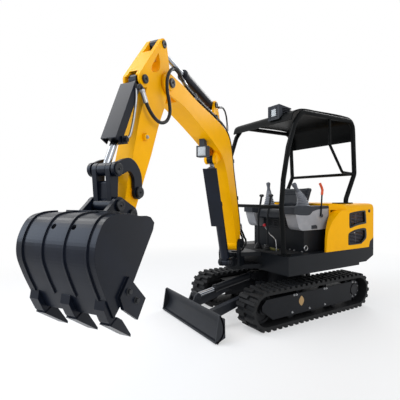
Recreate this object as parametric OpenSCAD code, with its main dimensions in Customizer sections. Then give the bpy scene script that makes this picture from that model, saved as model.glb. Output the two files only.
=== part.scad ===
// Mini excavator, 1.8 tonne class, with canopy, swing boom and dozer blade.
// Millimetres. +X is forward, +Y is left, +Z is up.
// The origin lies on the ground under the slew axis.

/* [Tracks] */
// Overall length of a track
track_l = 1655; // [1450:1:1850]
// Height of a track over its lugs
track_h = 364; // [320:1:420]
// Width of a rubber track
track_w = 230; // [180:1:280]
// Distance between the outer edges of the tracks
track_span = 1031; // [950:1:1150]
// How far the middle of the tracks lies ahead of the slew axis
track_ahead = 29; // [0:1:100]
// Thickness of the rubber belt
belt_t = 24; // [16:1:32]
// Height of the lugs on the belt
lug_h = 22; // [14:1:30]
// Number of lugs around a track
lug_count = 52; // [40:1:64]

/* [Undercarriage] */
// Width of a roller beam
beam_w = 150; // [120:1:170]
// Thickness of the roller beam's plates
beam_t = 14; // [10:1:20]
// Radius of the bottom rollers
roller_r = 45; // [35:1:55]
// Radius of the slew ring
slew_ring_r = 262; // [220:1:300]
// Height of the slew ring's upper face
slew_top_z = 460; // [440:1:480]

/* [Blade] */
// Width of the dozer blade
blade_w = 984; // [900:1:1100]
// Height of the dozer blade
blade_h = 215; // [160:1:280]
// Distance from the slew axis to the blade's cutting edge
blade_x = 1211; // [1120:1:1300]
// Height of the blade's lower edge above the ground
blade_lift = 12; // [5:1:60]
// Place of the blade arms' pivot ahead of the slew axis
blade_pivot_x = 560; // [500:1:620]
// Height of the blade arms' pivot
blade_pivot_z = 235; // [200:1:260]

/* [Upper frame] */
// Distance from the slew axis to the front of the floor
deck_front = 446; // [400:1:500]
// Half of the width of the floor
deck_half = 530; // [490:1:560]
// Height of the floor
deck_z = 636; // [610:1:680]
// Distance from the slew axis to the back of the counterweight
tail_x = 890; // [820:1:950]
// Radius of the round tail
tail_r = 1005; // [940:1:1080]
// Height of the engine hood's top
hood_z = 1090; // [1030:1:1150]
// Thickness of the hood's panels
hood_t = 22; // [15:1:30]
// Height of the counterweight's top at the back
weight_z = 760; // [720:1:800]
// Radius of the hood's rounded upper edges
shoulder_r = 66; // [40:1:80]

/* [Canopy] */
// Height of the roof's upper face
roof_z = 2030; // [1950:1:2150]
// Half of the distance between the hoops
hoop_half = 445; // [400:1:480]
// Radius of the hoops' tube
hoop_r = 24; // [18:1:30]
// Thickness of the roof sheet
roof_t = 12; // [8:1:20]

/* [Boom] */
// Distance from the slew axis to the swing axis
swing_x = 650; // [600:1:700]
// Angle of the boom to the left of straight ahead
swing_rest = 33.5; // [0:0.5:45]
// Half of the width of the boom
boom_half = 73; // [64:1:80]
// Thickness of the boom's fork plates
fork_t = 12; // [10:1:14]
// Half of the width of the arm
arm_half = 55; // [48:1:56]

/* [Cylinders] */
// Radius of the boom cylinder's barrel
boom_barrel_r = 40; // [34:1:44]
// Radius of the arm cylinder's barrel
arm_barrel_r = 36; // [30:1:40]
// Radius of the bucket cylinder's barrel
bucket_barrel_r = 33; // [28:1:36]
// Radius of the blade cylinder's barrel
blade_barrel_r = 34; // [28:1:38]
// Radius of the rods
rod_r = 19; // [14:1:22]

/* [Bucket] */
// Width of the bucket
bucket_w = 440; // [360:1:520]
// Thickness of the bucket's plates
bucket_t = 10; // [8:1:14]
// Width of a tooth
tooth_w = 52; // [40:1:64]

/* [Hidden] */
$fn = 48;
pin_r = 19;
eye_r = 36;
eye_half = 25;
seat_gap = 0.3;
side_gap = 3;
neck_l = 12;
gland_l = 30;
gland_t = 4;

// Pins of the boom, arm and bucket: distance ahead of the swing axis, and height
foot_pin = [100, 725];
boom_cyl_base = [255, 572];
boom_cyl_rod = [595, 1492];
arm_pin = [1413, 1867];
arm_cyl_base = [600, 1940];
arm_cyl_rod = [1443, 2096];
bucket_cyl_base = [1653, 1820];
bucket_pin = [1800, 1085];
rocker_pin = [1742, 1200];
upper_pin = [1905, 1310];
ear_pin = [1900, 1135];

// Places worked out for the tracks
end_r = track_h / 2;
belt_r = end_r - lug_h;
inner_r = belt_r - belt_t;
straight_l = track_l - track_h;
front_x = track_ahead + straight_l / 2;
rear_x = track_ahead - straight_l / 2;
track_y = (track_span - track_w) / 2;
loop_l = 2 * straight_l + 2 * PI * belt_r;
lug_pitch = loop_l / lug_count;

// Half widths of the layers at the arm's end
link_in = arm_half + side_gap + 6;
link_t = 18;
link_half = 33;

// Vectors and curves

function unit(v) = v / norm(v);
function lerp(a, b, t) = a + (b - a) * t;
function heading(a, b) = atan2(b[1] - a[1], b[0] - a[0]);

// Direction of a smooth curve at one of its points
function slope(p, i) =
    let (a = max(i - 1, 0), b = min(i + 1, len(p) - 1))
        (p[b] - p[a]) / (norm(p[b] - p[i]) + norm(p[i] - p[a]));

// A point between two points of a curve, from its directions there
function blend_point(p, q, u, v, t) =
    p * (2 * pow(t, 3) - 3 * t * t + 1) + u * (pow(t, 3) - 2 * t * t + t)
    + q * (3 * t * t - 2 * pow(t, 3)) + v * (pow(t, 3) - t * t);

// A smooth curve through a list of points, with steps points to each span
function curve(p, steps) = [
    for (i = [0:len(p) - 2], k = [0:steps - 1])
        let (d = norm(p[i + 1] - p[i]))
            blend_point(p[i], p[i + 1], slope(p, i) * d, slope(p, i + 1) * d, k / steps),
    p[len(p) - 1]
];

// The same curve moved sideways, to the left of its direction
function beside(p, d) = [
    for (i = [0:len(p) - 1])
        let (t = unit(p[min(i + 1, len(p) - 1)] - p[max(i - 1, 0)]))
            p[i] + d * [-t[1], t[0]]
];

function reversed(p) = [for (i = [len(p) - 1:-1:0]) p[i]];

// The four tangent points of two circles
function tangent_quad(p, q, rp, rq) =
    let (a = heading(p, q), w = acos((rp - rq) / norm(q - p)))
        [p + rp * [cos(a + w), sin(a + w)], q + rq * [cos(a + w), sin(a + w)],
         q + rq * [cos(a - w), sin(a - w)], p + rp * [cos(a - w), sin(a - w)]];

// Shapes that repeat

// A flat outline drawn in X and Z, from side to side between two values of Y
module plate(from, to) {
    translate([0, to, 0]) rotate([90, 0, 0]) linear_extrude(to - from) children();
}

// The same plate on both sides
module both_plates(from, to) {
    plate(from, to) children();
    plate(-to, -from) children();
}

// A round pin or boss across the machine
module across(p, r, from, to) {
    translate([p[0], from, p[1]]) rotate([-90, 0, 0]) cylinder(r = r, h = to - from);
}

module both_across(p, r, from, to) {
    across(p, r, from, to);
    across(p, r, -to, -from);
}

// Two circles joined by their tangents
module strap(p, q, rp, rq) {
    polygon(tangent_quad(p, q, rp, rq));
    translate(p) circle(rp);
    translate(q) circle(rq);
}

// A round tube between two points
module rod_between(a, b, r) {
    d = b - a;
    translate(a) rotate([0, acos(d[2] / norm(d)), atan2(d[1], d[0])]) cylinder(r = r, h = norm(d));
}

// The points of a path whose inner corners are rounded, with steps points to a bend
function rounded_path(p, bend, steps) = [
    p[0],
    for (i = [1:len(p) - 2])
        let (a = unit(p[i] - p[i - 1]), b = unit(p[i + 1] - p[i]), turn = acos(max(-1, min(1, a * b))),
             cut = bend * tan(turn / 2), n = unit(b - a * (a * b)), start = p[i] - a * cut)
            for (k = [0:steps])
                start + a * bend * sin(turn * k / steps) + n * bend * (1 - cos(turn * k / steps)),
    p[len(p) - 1]
];

// A round tube along points, with a bend of one radius at each inner point
module bent_pipe(p, r, bend, sides = 12, steps = 5) {
    swept_pipe(rounded_path(p, bend, steps), unit(cross(p[1] - p[0], p[2] - p[1])), r, sides);
}

// A round tube through points, whose rings are kept from twisting by one sideways direction
module swept_pipe(path, across_dir, r, sides) {
    last = len(path) - 1;
    rings = [for (i = [0:last])
        let (t = unit(path[min(i + 1, last)] - path[max(i - 1, 0)]),
             u = unit(across_dir - t * (across_dir * t)), w = cross(t, u))
            for (k = [0:sides - 1]) path[i] + r * (cos(360 * k / sides) * u + sin(360 * k / sides) * w)];
    faces = concat(
        [[for (k = [0:sides - 1]) k]],
        [for (i = [0:last - 1], k = [0:sides - 1])
            let (next = (k + 1) % sides)
                [i * sides + k, (i + 1) * sides + k, (i + 1) * sides + next, i * sides + next]],
        [[for (k = [sides - 1:-1:0]) last * sides + k]]);
    polyhedron(rings, faces);
}

// Places the boom's plane: X runs out along the boom, from the swing axis
module boom_plane() {
    translate([swing_x, 0, 0]) rotate([0, 0, swing_rest]) children();
}

// Places a cylinder: X runs from its base pin to its rod pin
module cylinder_line(base, rod) {
    translate([base[0], 0, base[1]]) rotate([0, -heading(base, rod), 0]) children();
}

// A cylinder's barrel with its base eye, neck and gland
module barrel(length, r, eye, half) {
    difference() {
        union() {
            across([0, 0], eye, -half, half);
            translate([0, -half, -eye * 0.7]) cube([eye + neck_l + 1, 2 * half, eye * 1.4]);
            translate([eye + neck_l, 0, 0]) rotate([0, 90, 0]) cylinder(r = r, h = length - eye - neck_l);
            translate([length - gland_l, 0, 0]) rotate([0, 90, 0]) cylinder(r = r + gland_t, h = gland_l);
        }
        translate([eye + neck_l, 0, 0]) rotate([0, 90, 0]) cylinder(r = rod_r + 1, h = length);
        across([0, 0], pin_r + 0.5, -half - 1, half + 1);
    }
}

// A cylinder's rod with its eye: it starts inside the barrel
module rod(start, length, eye, half) {
    difference() {
        union() {
            across([length, 0], eye, -half, half);
            translate([start, 0, 0]) rotate([0, 90, 0]) cylinder(r = rod_r, h = length - start - eye * 0.6);
        }
        across([length, 0], pin_r + 0.5, -half - 1, half + 1);
    }
}

// Undercarriage

// A long round outline in X and Z
module stadium(r) {
    translate([rear_x, end_r - r]) square([straight_l, 2 * r]);
    for (x = [rear_x, front_x]) translate([x, end_r]) circle(r, $fn = 96);
}

// Place and turn of a point on the belt, by its distance along the loop
function loop_place(s) =
    let (arc = PI * belt_r, m = s - loop_l * floor(s / loop_l))
        m < straight_l ? [rear_x + m, end_r - belt_r, 180]
        : m < straight_l + arc ? let (a = (m - straight_l) / belt_r * 180 / PI - 90)
            [front_x + belt_r * cos(a), end_r + belt_r * sin(a), a - 90]
        : m < 2 * straight_l + arc ? [front_x - (m - straight_l - arc), end_r + belt_r, 0]
        : let (a = (m - 2 * straight_l - arc) / belt_r * 180 / PI + 90)
            [rear_x + belt_r * cos(a), end_r + belt_r * sin(a), a - 90];

module track_profile(phase) {
    foot = lug_pitch * 0.62;
    tip = lug_pitch * 0.42;
    difference() {
        union() {
            stadium(belt_r);
            for (i = [0:lug_count - 1]) {
                q = loop_place((i + phase) * lug_pitch);
                translate([q[0], q[1]]) rotate(q[2])
                    polygon([[-foot / 2, -4], [foot / 2, -4], [tip / 2, lug_h], [-tip / 2, lug_h]]);
            }
        }
        stadium(inner_r);
    }
}

module track(side) {
    y0 = side * track_y;
    plate(y0 - track_w / 2, y0) track_profile(0);
    plate(y0, y0 + track_w / 2) track_profile(0.5);
}

module track_left() { color([0.09, 0.09, 0.1]) track(1); }
module track_right() { color([0.09, 0.09, 0.1]) track(-1); }

roller_z = end_r - inner_r + roller_r + seat_gap;
roller_x = [for (i = [-1:1]) track_ahead + i * straight_l * 0.24];
beam_top = end_r + inner_r - 62;
beam_low = end_r - inner_r + 50;
beam_front = front_x - 150;
beam_rear = rear_x + 150;
top_roller_r = 30;
top_roller_x = [track_ahead - 190, track_ahead + 190];
top_roller_z = end_r + inner_r - top_roller_r - seat_gap;

// One roller beam: an upside-down channel with a fork for the idler and a plate for the drive
module roller_beam() {
    in_half = beam_w / 2 - beam_t;
    difference() {
        plate(-beam_w / 2, beam_w / 2) translate([beam_rear, beam_low])
            square([beam_front - beam_rear, beam_top - beam_low]);
        plate(-in_half, in_half) translate([beam_rear - 1, beam_low - 1])
            square([beam_front - beam_rear + 2, beam_top - beam_t - beam_low + 1]);
    }
    both_plates(in_half, beam_w / 2) strap([beam_front - 60, end_r], [front_x, end_r], 48, 34);
    across([front_x, end_r], 20, -beam_w / 2, beam_w / 2);
    for (x = top_roller_x) translate([x - 18, -22, beam_top - 1])
        cube([36, 44, top_roller_z - top_roller_r - seat_gap - beam_top + 1]);
}

drive_r = 88;
drive_half = 66;

module drive_plate() {
    plate(-beam_w / 2, -beam_w / 2 + beam_t) translate([rear_x, end_r]) {
        circle(drive_r);
        translate([0, -drive_half]) square([beam_rear + 70 - rear_x, 2 * drive_half]);
    }
}

module track_beams() {
    color([0.12, 0.12, 0.13]) for (side = [-1, 1]) translate([0, side * track_y, 0]) {
        roller_beam();
        mirror([0, side < 0 ? 1 : 0, 0]) drive_plate();
    }
}

module track_frame() {
    leg_z = 150;
    hub_top = slew_top_z - 30;
    color([0.12, 0.12, 0.13]) {
        translate([0, 0, leg_z + 40]) cylinder(r = slew_ring_r - 12, h = hub_top - leg_z - 40);
        for (fore = [-1, 1], side = [-1, 1])
            plate_leg(fore, side, leg_z);
        blade_hangers();
        tie_down();
    }
}

eye_hole_r = 16;
eye_plate_t = 20;
tie_x = 330;
tie_z = 225;

// The tie-down plate at the back of the cross frame, with an upright hole
module tie_down() {
    translate([0, 0, tie_z - eye_plate_t / 2]) linear_extrude(eye_plate_t) difference() {
        strap([40 - slew_ring_r, 0], [-tie_x, 0], 60, 34);
        translate([-tie_x, 0]) circle(eye_hole_r);
    }
}

// One leg of the cross frame, from the hub to a roller beam
module plate_leg(fore, side, z) {
    foot_x = track_ahead + fore * 300;
    near = track_y - beam_w / 2 - seat_gap;
    translate([0, 0, z]) linear_extrude(112)
        polygon([[fore * 60, side * 60], [foot_x - fore * 70, side * near],
                 [foot_x + fore * 70, side * near], [fore * 215, side * 60]]);
}

hanger_y = 178;
blade_arm_t = 56;
hanger_pin = blade_arm_t / 2 + 20;
blade_pivot = [blade_pivot_x, blade_pivot_z];
blade_cyl_base = [430, 372];
blade_cyl_rod = [1102, 262];

// The ears that carry the blade's arms and its cylinder
module blade_hangers() {
    for (side = [-1, 1], d = [-1, 1])
        translate([0, side * hanger_y + d * (blade_arm_t / 2 + 2 + 8), 0])
            plate(-8, 8) strap(blade_pivot + [-330, -10], blade_pivot, 48, 44);
    for (side = [-1, 1])
        across(blade_pivot, pin_r, side * hanger_y - hanger_pin, side * hanger_y + hanger_pin);
    both_plates(eye_half + side_gap, eye_half + side_gap + 14) strap([200, 330], blade_cyl_base, 60, 34);
    across(blade_cyl_base, pin_r, -eye_half - side_gap - 16, eye_half + side_gap + 16);
}

// The flat cover on the outer side of a roller beam, with a bay for the drive
cover_t = 10;
cover_bay_r = 106;

module track_covers() {
    rear = rear_x + cover_bay_r - 20;
    start = track_y + beam_w / 2 + seat_gap;
    color([0.11, 0.11, 0.12]) for (side = [0, 1]) mirror([0, side, 0])
        plate(start, start + cover_t) difference() {
            translate([0, end_r]) polygon([[rear, -95], [front_x - 82, -95], [front_x + 44, 0], [front_x + 46, 44],
                                           [front_x - 6, 92], [rear, 100]]);
            translate([rear_x, end_r]) circle(cover_bay_r);
        }
}

tooth_count = 16;

module sprocket_profile() {
    circle(inner_r - 26);
    for (i = [0:tooth_count - 1]) rotate(i * 360 / tooth_count)
        polygon([[inner_r - 34, -16], [inner_r - 4, -8], [inner_r - 4, 8], [inner_r - 34, 16]]);
}

module sprockets() {
    seat = track_y - beam_w / 2 + beam_t;
    color([0.13, 0.13, 0.14])
        for (side = [-1, 1]) mirror([0, side < 0 ? 1 : 0, 0]) {
            plate(track_y - 20, track_y + 20) translate([rear_x, end_r]) sprocket_profile();
            across([rear_x, end_r], 96, seat, track_y + 46);
            across([rear_x, end_r], 56, track_y + 45, track_y + 62);
        }
}

module idlers() {
    color([0.13, 0.13, 0.14])
        for (side = [-1, 1]) translate([front_x, side * track_y, end_r]) rotate([90, 0, 0])
            difference() {
                union() {
                    cylinder(r = inner_r - seat_gap, h = 44, center = true, $fn = 96);
                    cylinder(r = 44, h = 2 * (beam_w / 2 - beam_t) - 1, center = true);
                }
                for (d = [-1, 1]) translate([0, 0, d * 27])
                    difference() {
                        cylinder(r = inner_r - 24, h = 30, center = true);
                        cylinder(r = 56, h = 31, center = true);
                    }
                cylinder(r = 20.05, h = 300, center = true);
            }
}

module track_rollers() {
    in_half = beam_w / 2 - beam_t;
    color([0.13, 0.13, 0.14])
        for (side = [-1, 1]) translate([0, side * track_y, 0]) {
            for (x = roller_x) {
                across([x, roller_z], roller_r - 8, -in_half + 8, in_half - 8);
                both_across([x, roller_z], roller_r, 20, in_half - 12);
                across([x, roller_z], 17, -in_half, in_half);
            }
            for (x = top_roller_x)
                across([x, top_roller_z], top_roller_r, -34, 34);
        }
}

module slew_ring() {
    color([0.2, 0.2, 0.21]) translate([0, 0, slew_top_z - 30]) difference() {
        cylinder(r = slew_ring_r, h = 30 - seat_gap, $fn = 96);
        translate([0, 0, -1]) cylinder(r = 110, h = 40);
    }
}

// Blade

blade_top = blade_lift + blade_h;
blade_back = curve([[0, 0], [-52, 60], [-58, 130], [-28, 215]], 6);

module blade_section() {
    scale_h = blade_h / 215;
    face = [for (p = blade_back) [blade_x - 12 + p[0], blade_lift + p[1] * scale_h]];
    polygon(concat(face, reversed(beside(face, 14))));
}

tie_y = 330;
blade_tie_z = blade_lift + 120;
blade_tie = [blade_x - 118, blade_tie_z];

module blade() {
    arm_end_x = blade_x - 84;
    color([0.1, 0.1, 0.11]) difference() {
        union() {
            plate(-blade_w / 2, blade_w / 2) blade_section();
            plate(-blade_w / 2, blade_w / 2) translate([blade_x - 34, blade_lift]) square([34, 16]);
            both_plates(blade_w / 2 - 12, blade_w / 2)
                polygon([[blade_x - 96, blade_lift + 30], [blade_x - 20, blade_lift], [blade_x - 2, blade_lift + 6],
                         [blade_x - 34, blade_top], [blade_x - 92, blade_top - 30]]);
            for (side = [-1, 1]) translate([0, side * hanger_y, 0]) {
                plate(-blade_arm_t / 2, blade_arm_t / 2) strap(blade_pivot, [arm_end_x, blade_lift + 90], 40, 46);
                plate(-blade_arm_t / 2, blade_arm_t / 2)
                    translate([arm_end_x - 20, blade_lift + 52]) square([46, 90]);
            }
            plate(-hanger_y, hanger_y) translate([blade_x - 112, blade_lift + 70]) square([46, 70]);
            both_plates(eye_half + side_gap, eye_half + side_gap + 16)
                polygon([[blade_x - 96, blade_lift + 100], [blade_x - 60, blade_lift + 100],
                         [blade_x - 52, blade_top - 6], blade_cyl_rod + [26, 20], blade_cyl_rod + [0, 34],
                         blade_cyl_rod + [-30, 12], blade_cyl_rod + [-28, -30]]);
            both_across(blade_cyl_rod, pin_r + 12, eye_half + side_gap, eye_half + side_gap + 22);
            for (side = [-1, 1]) translate([0, side * tie_y, 0])
                plate(-eye_plate_t / 2, eye_plate_t / 2) strap([blade_x - 50, blade_tie_z], blade_tie, 34, 32);
        }
        for (side = [-1, 1]) across(blade_tie, eye_hole_r, side * tie_y - 20, side * tie_y + 20);
        for (side = [-1, 1]) across(blade_pivot, pin_r + 0.1, side * hanger_y - 60, side * hanger_y + 60);
    }
}

blade_cyl_l = norm(blade_cyl_rod - blade_cyl_base);
module blade_barrel() {
    color([0.1, 0.1, 0.11]) cylinder_line(blade_cyl_base, blade_cyl_rod)
        barrel(470, blade_barrel_r, eye_r, eye_half);
}
module blade_rod() {
    color([0.75, 0.76, 0.78]) cylinder_line(blade_cyl_base, blade_cyl_rod) rod(260, blade_cyl_l, 32, eye_half);
}

// Upper frame

nose_low_z = 474;
nose_t = 40;
nose_r = 92;
swing_pin_r = 34;
post_low_z = nose_low_z + nose_t + 1;
post_high_z = deck_z - nose_t - 1;
weight_x = -600;
weight_low = slew_top_z + 25;

module deck_outline() {
    intersection() {
        translate([-tail_x, -deck_half]) square([tail_x + deck_front, 2 * deck_half]);
        circle(tail_r, $fn = 128);
    }
}

module platform() {
    color([0.11, 0.11, 0.12]) {
        translate([0, 0, slew_top_z]) linear_extrude(deck_z - slew_top_z) difference() {
            deck_outline();
            translate([-tail_x - 10, -deck_half - 10]) square([tail_x + 10 + weight_x, 2 * deck_half + 20]);
        }
        for (z = [nose_low_z, deck_z - nose_t]) translate([0, 0, z]) linear_extrude(nose_t) {
            translate([swing_x, 0]) circle(nose_r);
            polygon([[deck_front - 20, -170], [deck_front - 20, 170], [swing_x, nose_r], [swing_x, -nose_r]]);
        }
        translate([swing_x, 0, nose_low_z]) cylinder(r = swing_pin_r, h = deck_z - nose_low_z + 8);
    }
}

// The counterweight's upper edge, seen from the left: it rises at the back corner
weight_rise = [[118 - tail_x, deck_z], [100 - tail_x, deck_z + 62], [40 - tail_x, weight_z - 26],
               [-tail_x - 1, weight_z]];

module weight_side() {
    polygon(concat([[weight_x - seat_gap, deck_z], [weight_x - seat_gap, weight_low],
                    [168 - tail_x, weight_low], [-tail_x - 1, weight_low + 72]], reversed(weight_rise)));
}

module counterweight() {
    color([0.11, 0.11, 0.12]) intersection() {
        translate([0, 0, weight_low]) linear_extrude(weight_z - weight_low + 1) deck_outline();
        plate(-deck_half - 1, deck_half + 1) weight_side();
    }
}

engine_l = 300;
engine_w = 480;
engine_h = 380;
hood_wall_x = -250;
hood_wall_t = 20;

module engine() {
    front_x = hood_wall_x - hood_wall_t;
    color([0.3, 0.3, 0.32]) translate([front_x - engine_l, -engine_w / 2, deck_z])
        cube([engine_l, engine_w, engine_h]);
}

hood_top_z = hood_z + 20;
shoulder_z = hood_top_z - shoulder_r;
wall_half = 430;

// Side of the hood, seen from the left: its front edge sweeps back as it rises
hood_front = curve([[-69, deck_z], [-88, 800], [-144, 910], [-232, 996], [-300, shoulder_z]], 4);

module hood_side() {
    polygon(concat(hood_front, [[-tail_x - 1, shoulder_z]],
                   [for (p = reversed(weight_rise)) p + [0, seat_gap]]));
}

// The two vent windows of a side, seen from the left
module window(low) {
    if (low) polygon([[-425, 692], [-628, 688], [-700, 745], [-700, 832], [-425, 800]]);
    else polygon([[-440, 868], [-700, 900], [-690, 1026], [-440, 1008]]);
}

// The hood's wall follows the round tail of the deck
module hood_wall() {
    intersection() {
        translate([0, 0, deck_z + seat_gap]) linear_extrude(shoulder_z - deck_z - 2 * seat_gap) difference() {
            deck_outline();
            intersection() {
                translate([-tail_x + hood_t, -deck_half + hood_t])
                    square([tail_x + deck_front, 2 * (deck_half - hood_t)]);
                circle(tail_r - hood_t, $fn = 128);
            }
        }
        plate(-deck_half - 1, deck_half + 1) hood_side();
    }
}

door_half = 300;
door_gap = 5;
door_low = weight_z + door_gap;
door_high = shoulder_z - door_gap;
hinge_r = 9;
hinge_x = -tail_x - hinge_r - 1.5;
hinge_y = -door_half - door_gap / 2;
hinge_z = [830, 950];
hinge_l = 34;
leaf_w = 30;

// The cheek between a side panel and the wall behind the seat, seen from above
module cheek_plan() {
    panel_in = deck_half - hood_t + 1;
    back = hood_front[len(hood_front) - 1][0] - 20;
    polygon([[hood_front[0][0], panel_in], [back, panel_in], [back, wall_half + 1],
             [hood_wall_x + hood_wall_t / 2 + 2, wall_half + 1]]);
}

module hood_half() {
    difference() {
        intersection() {
            hood_wall();
            translate([-tail_x - 1, 0.2, 0]) cube([2 * tail_x, deck_half + 1, 2 * hood_z]);
        }
        translate([-tail_x - 1, -1, door_low - door_gap]) cube([hood_t + 20, door_half + door_gap + 1, hood_z]);
        for (low = [false, true]) plate(engine_w / 2, deck_half + 1) window(low);
    }
    intersection() {
        plate(wall_half, deck_half - hood_t + 1) hood_side();
        translate([0, 0, deck_z + seat_gap]) linear_extrude(shoulder_z - deck_z - 2 * seat_gap) cheek_plan();
    }
}

module hood_left() {
    color([0.95, 0.7, 0.05]) hood_half();
}

module hood_right() {
    color([0.95, 0.7, 0.05]) {
        mirror([0, 1, 0]) hood_half();
        for (z = hinge_z) translate([hinge_x, hinge_y, z]) {
            cylinder(r = hinge_r, h = hinge_l);
            translate([0, -leaf_w, 0]) cube([-tail_x + 1 - hinge_x, leaf_w, hinge_l]);
        }
    }
}

screen_t = 5;
screen_edge = 14;
screen_pitch = 15;
screen_slot = 9;

// A slotted screen behind a vent window, as a rectangle in X and Z
module screen(x0, x1, z0, z1) {
    middle = (x0 + x1) / 2;
    plate(deck_half - hood_t - seat_gap - screen_t, deck_half - hood_t - seat_gap) difference() {
        translate([x0, z0]) square([x1 - x0, z1 - z0]);
        for (z = [z0 + screen_edge:screen_pitch:z1 - screen_edge], side = [0, 1])
            translate([side ? middle + 3 : x0 + screen_edge, z])
                square([middle - x0 - screen_edge - 3, screen_slot]);
    }
}

module vent_screens() {
    color([0.2, 0.2, 0.21]) for (side = [0, 1]) mirror([0, side, 0]) {
        screen(-722, -412, 676, 846);
        screen(-722, -424, 852, 1038);
    }
}

// Quarter circle of the hood's rounded edge
function shoulder(from) = [for (a = [from:10:from + 90]) shoulder_r * [cos(a), sin(a)]];

module hood_top() {
    front = hood_wall_x + hood_wall_t / 2 + 5;
    corner = front - 150;
    edge = deck_half - shoulder_r;
    color([0.95, 0.7, 0.05]) {
        intersection() {
            translate([0, 0, shoulder_z]) linear_extrude(shoulder_r + 1) intersection() {
                deck_outline();
                polygon([[-tail_x - 1, -deck_half - 1], [corner, -deck_half - 1], [front, -wall_half],
                         [front, wall_half], [corner, deck_half + 1], [-tail_x - 1, deck_half + 1]]);
            }
            plate(-deck_half - 1, deck_half + 1) polygon(concat(
                [[0, shoulder_z - 1], [0, hood_top_z]],
                [for (p = shoulder(90)) p + [shoulder_r - tail_x, shoulder_z]], [[-tail_x, shoulder_z - 1]]));
            translate([-tail_x - 1, 0, 0]) rotate([90, 0, 90]) linear_extrude(tail_x) polygon(concat(
                [for (p = shoulder(0)) p + [edge, shoulder_z]],
                [for (p = shoulder(90)) p + [-edge, shoulder_z]],
                [[-deck_half, shoulder_z - 1], [deck_half, shoulder_z - 1]]));
        }
        translate([hood_wall_x - hood_wall_t / 2, -wall_half, deck_z + seat_gap])
            cube([hood_wall_t, 2 * wall_half, shoulder_z - deck_z + 5]);
    }
}

module engine_door() {
    color([0.95, 0.7, 0.05]) {
        translate([-tail_x, -door_half, door_low]) cube([hood_t, 2 * door_half, door_high - door_low]);
        for (z = hinge_z) translate([hinge_x, hinge_y, z + hinge_l + seat_gap]) {
            cylinder(r = hinge_r, h = hinge_l);
            cube([-tail_x + 1 - hinge_x, leaf_w, hinge_l]);
        }
    }
}

// Canopy

hoop_top = roof_z - roof_t - hoop_r - 3;
foot_x = -490;
foot_base_z = hood_top_z + seat_gap;
front_bar = [452, 1086];
rear_bar = [-634, 1428];
hoop_points = [
    [418, deck_z + 2], front_bar, [428, 1340], [366, 1640], [284, 1870], [190, hoop_top],
    [-600, hoop_top], rear_bar, [foot_x, foot_base_z + 45], [foot_x, foot_base_z + 2]
];
foot_plate = [240, 76, 10];
deck_plate = [90, 80, 10];

module canopy_frame() {
    bar_r = 17;
    grab_r = 14;
    color([0.1, 0.1, 0.11]) {
        for (side = [-1, 1]) {
            bent_pipe([for (q = hoop_points) [q[0], side * hoop_half, q[1]]], hoop_r, 90);
            translate([hoop_points[0][0], side * hoop_half, deck_z + seat_gap])
                translate([-deck_plate[0] / 2, -deck_plate[1] / 2, 0]) cube(deck_plate);
            translate([foot_x - 65, side * hoop_half - foot_plate[1] / 2, foot_base_z]) cube(foot_plate);
        }
        for (bar = [front_bar, rear_bar])
            rod_between([bar[0], -hoop_half, bar[1]], [bar[0], hoop_half, bar[1]], bar_r);
        bent_pipe([for (q = [[-220, hoop_top], [-224, 1714], [-428, 1440], [rear_bar[0] + 10, rear_bar[1]]])
                   [q[0], hoop_half, q[1]]], grab_r, 40);
    }
}

// The roof's upper face, seen from the left: it wraps the hoops and hangs down at both ends
roof_curve = curve([[330, roof_z - 125], [300, roof_z - 50], [190, roof_z - 6], [0, roof_z], [-505, roof_z],
                    [-608, roof_z - 36], [-647, roof_z - 127], [-656, roof_z - 245]], 5);

module canopy_roof() {
    color([0.12, 0.12, 0.13])
        plate(-hoop_half, hoop_half) polygon(concat(roof_curve, reversed(beside(roof_curve, roof_t))));
}

lamp_y = 145;
lamp_w = 155;
lamp_front = 340;
lamp_rear = 172;
lamp_low = roof_z - 92;
lamp_high = roof_z + 52;
lamp_foot = 306;
fin_t = 6;
fin_gap = 10;
fin_depth = 22;

// Height of the roof's upper face at a distance ahead of the slew axis
function roof_at(x) = lookup(x, [for (p = reversed(roof_curve)) [p[0], p[1]]]);

// The lamp seen from its left side: it sits on the curved front of the roof
module lamp_side() {
    polygon(concat(
        [[lamp_front, lamp_low], [lamp_front, lamp_high], [lamp_rear, lamp_high - 22],
         [lamp_rear, roof_at(lamp_rear) + seat_gap]],
        [for (p = reversed(roof_curve)) if (p[0] > lamp_rear && p[0] < lamp_foot) p + [0, 2 * seat_gap]],
        [[lamp_foot, roof_at(lamp_foot) + 2 * seat_gap]]));
}

module roof_lamp() {
    lens_edge = 14;
    lens_depth = 8;
    color([0.15, 0.15, 0.16]) difference() {
        plate(lamp_y, lamp_y + lamp_w) lamp_side();
        translate([lamp_front - lens_depth, lamp_y + lens_edge, lamp_low + lens_edge])
            cube([lens_depth + 1, lamp_w - 2 * lens_edge, lamp_high - lamp_low - 2 * lens_edge]);
        for (side = [0, 1], z = [lamp_low + 22:fin_t + fin_gap:lamp_high - 34])
            translate([lamp_rear - 1, side ? lamp_y + lamp_w - fin_depth : lamp_y - 1, z])
                cube([lamp_front - lamp_rear - 42, fin_depth + 1, fin_gap]);
    }
}

// Operator's place

box_z = 850;
box_front = 120;
box_rear = hood_wall_x + hood_wall_t / 2 + 6;
seat_w = 440;
seat_y = 50;
seat_box_z = 945;
cushion_z = 1050;
cushion_front = 225;
cushion_rear = -150;
back_z = 1290;
back_t = 95;
back_lean = 95;
pod_w = 138;
pod_in = seat_w / 2 + 17;
pod_out = pod_in + pod_w;
box_half = pod_out - 10;
pod_z = 1085;

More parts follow.
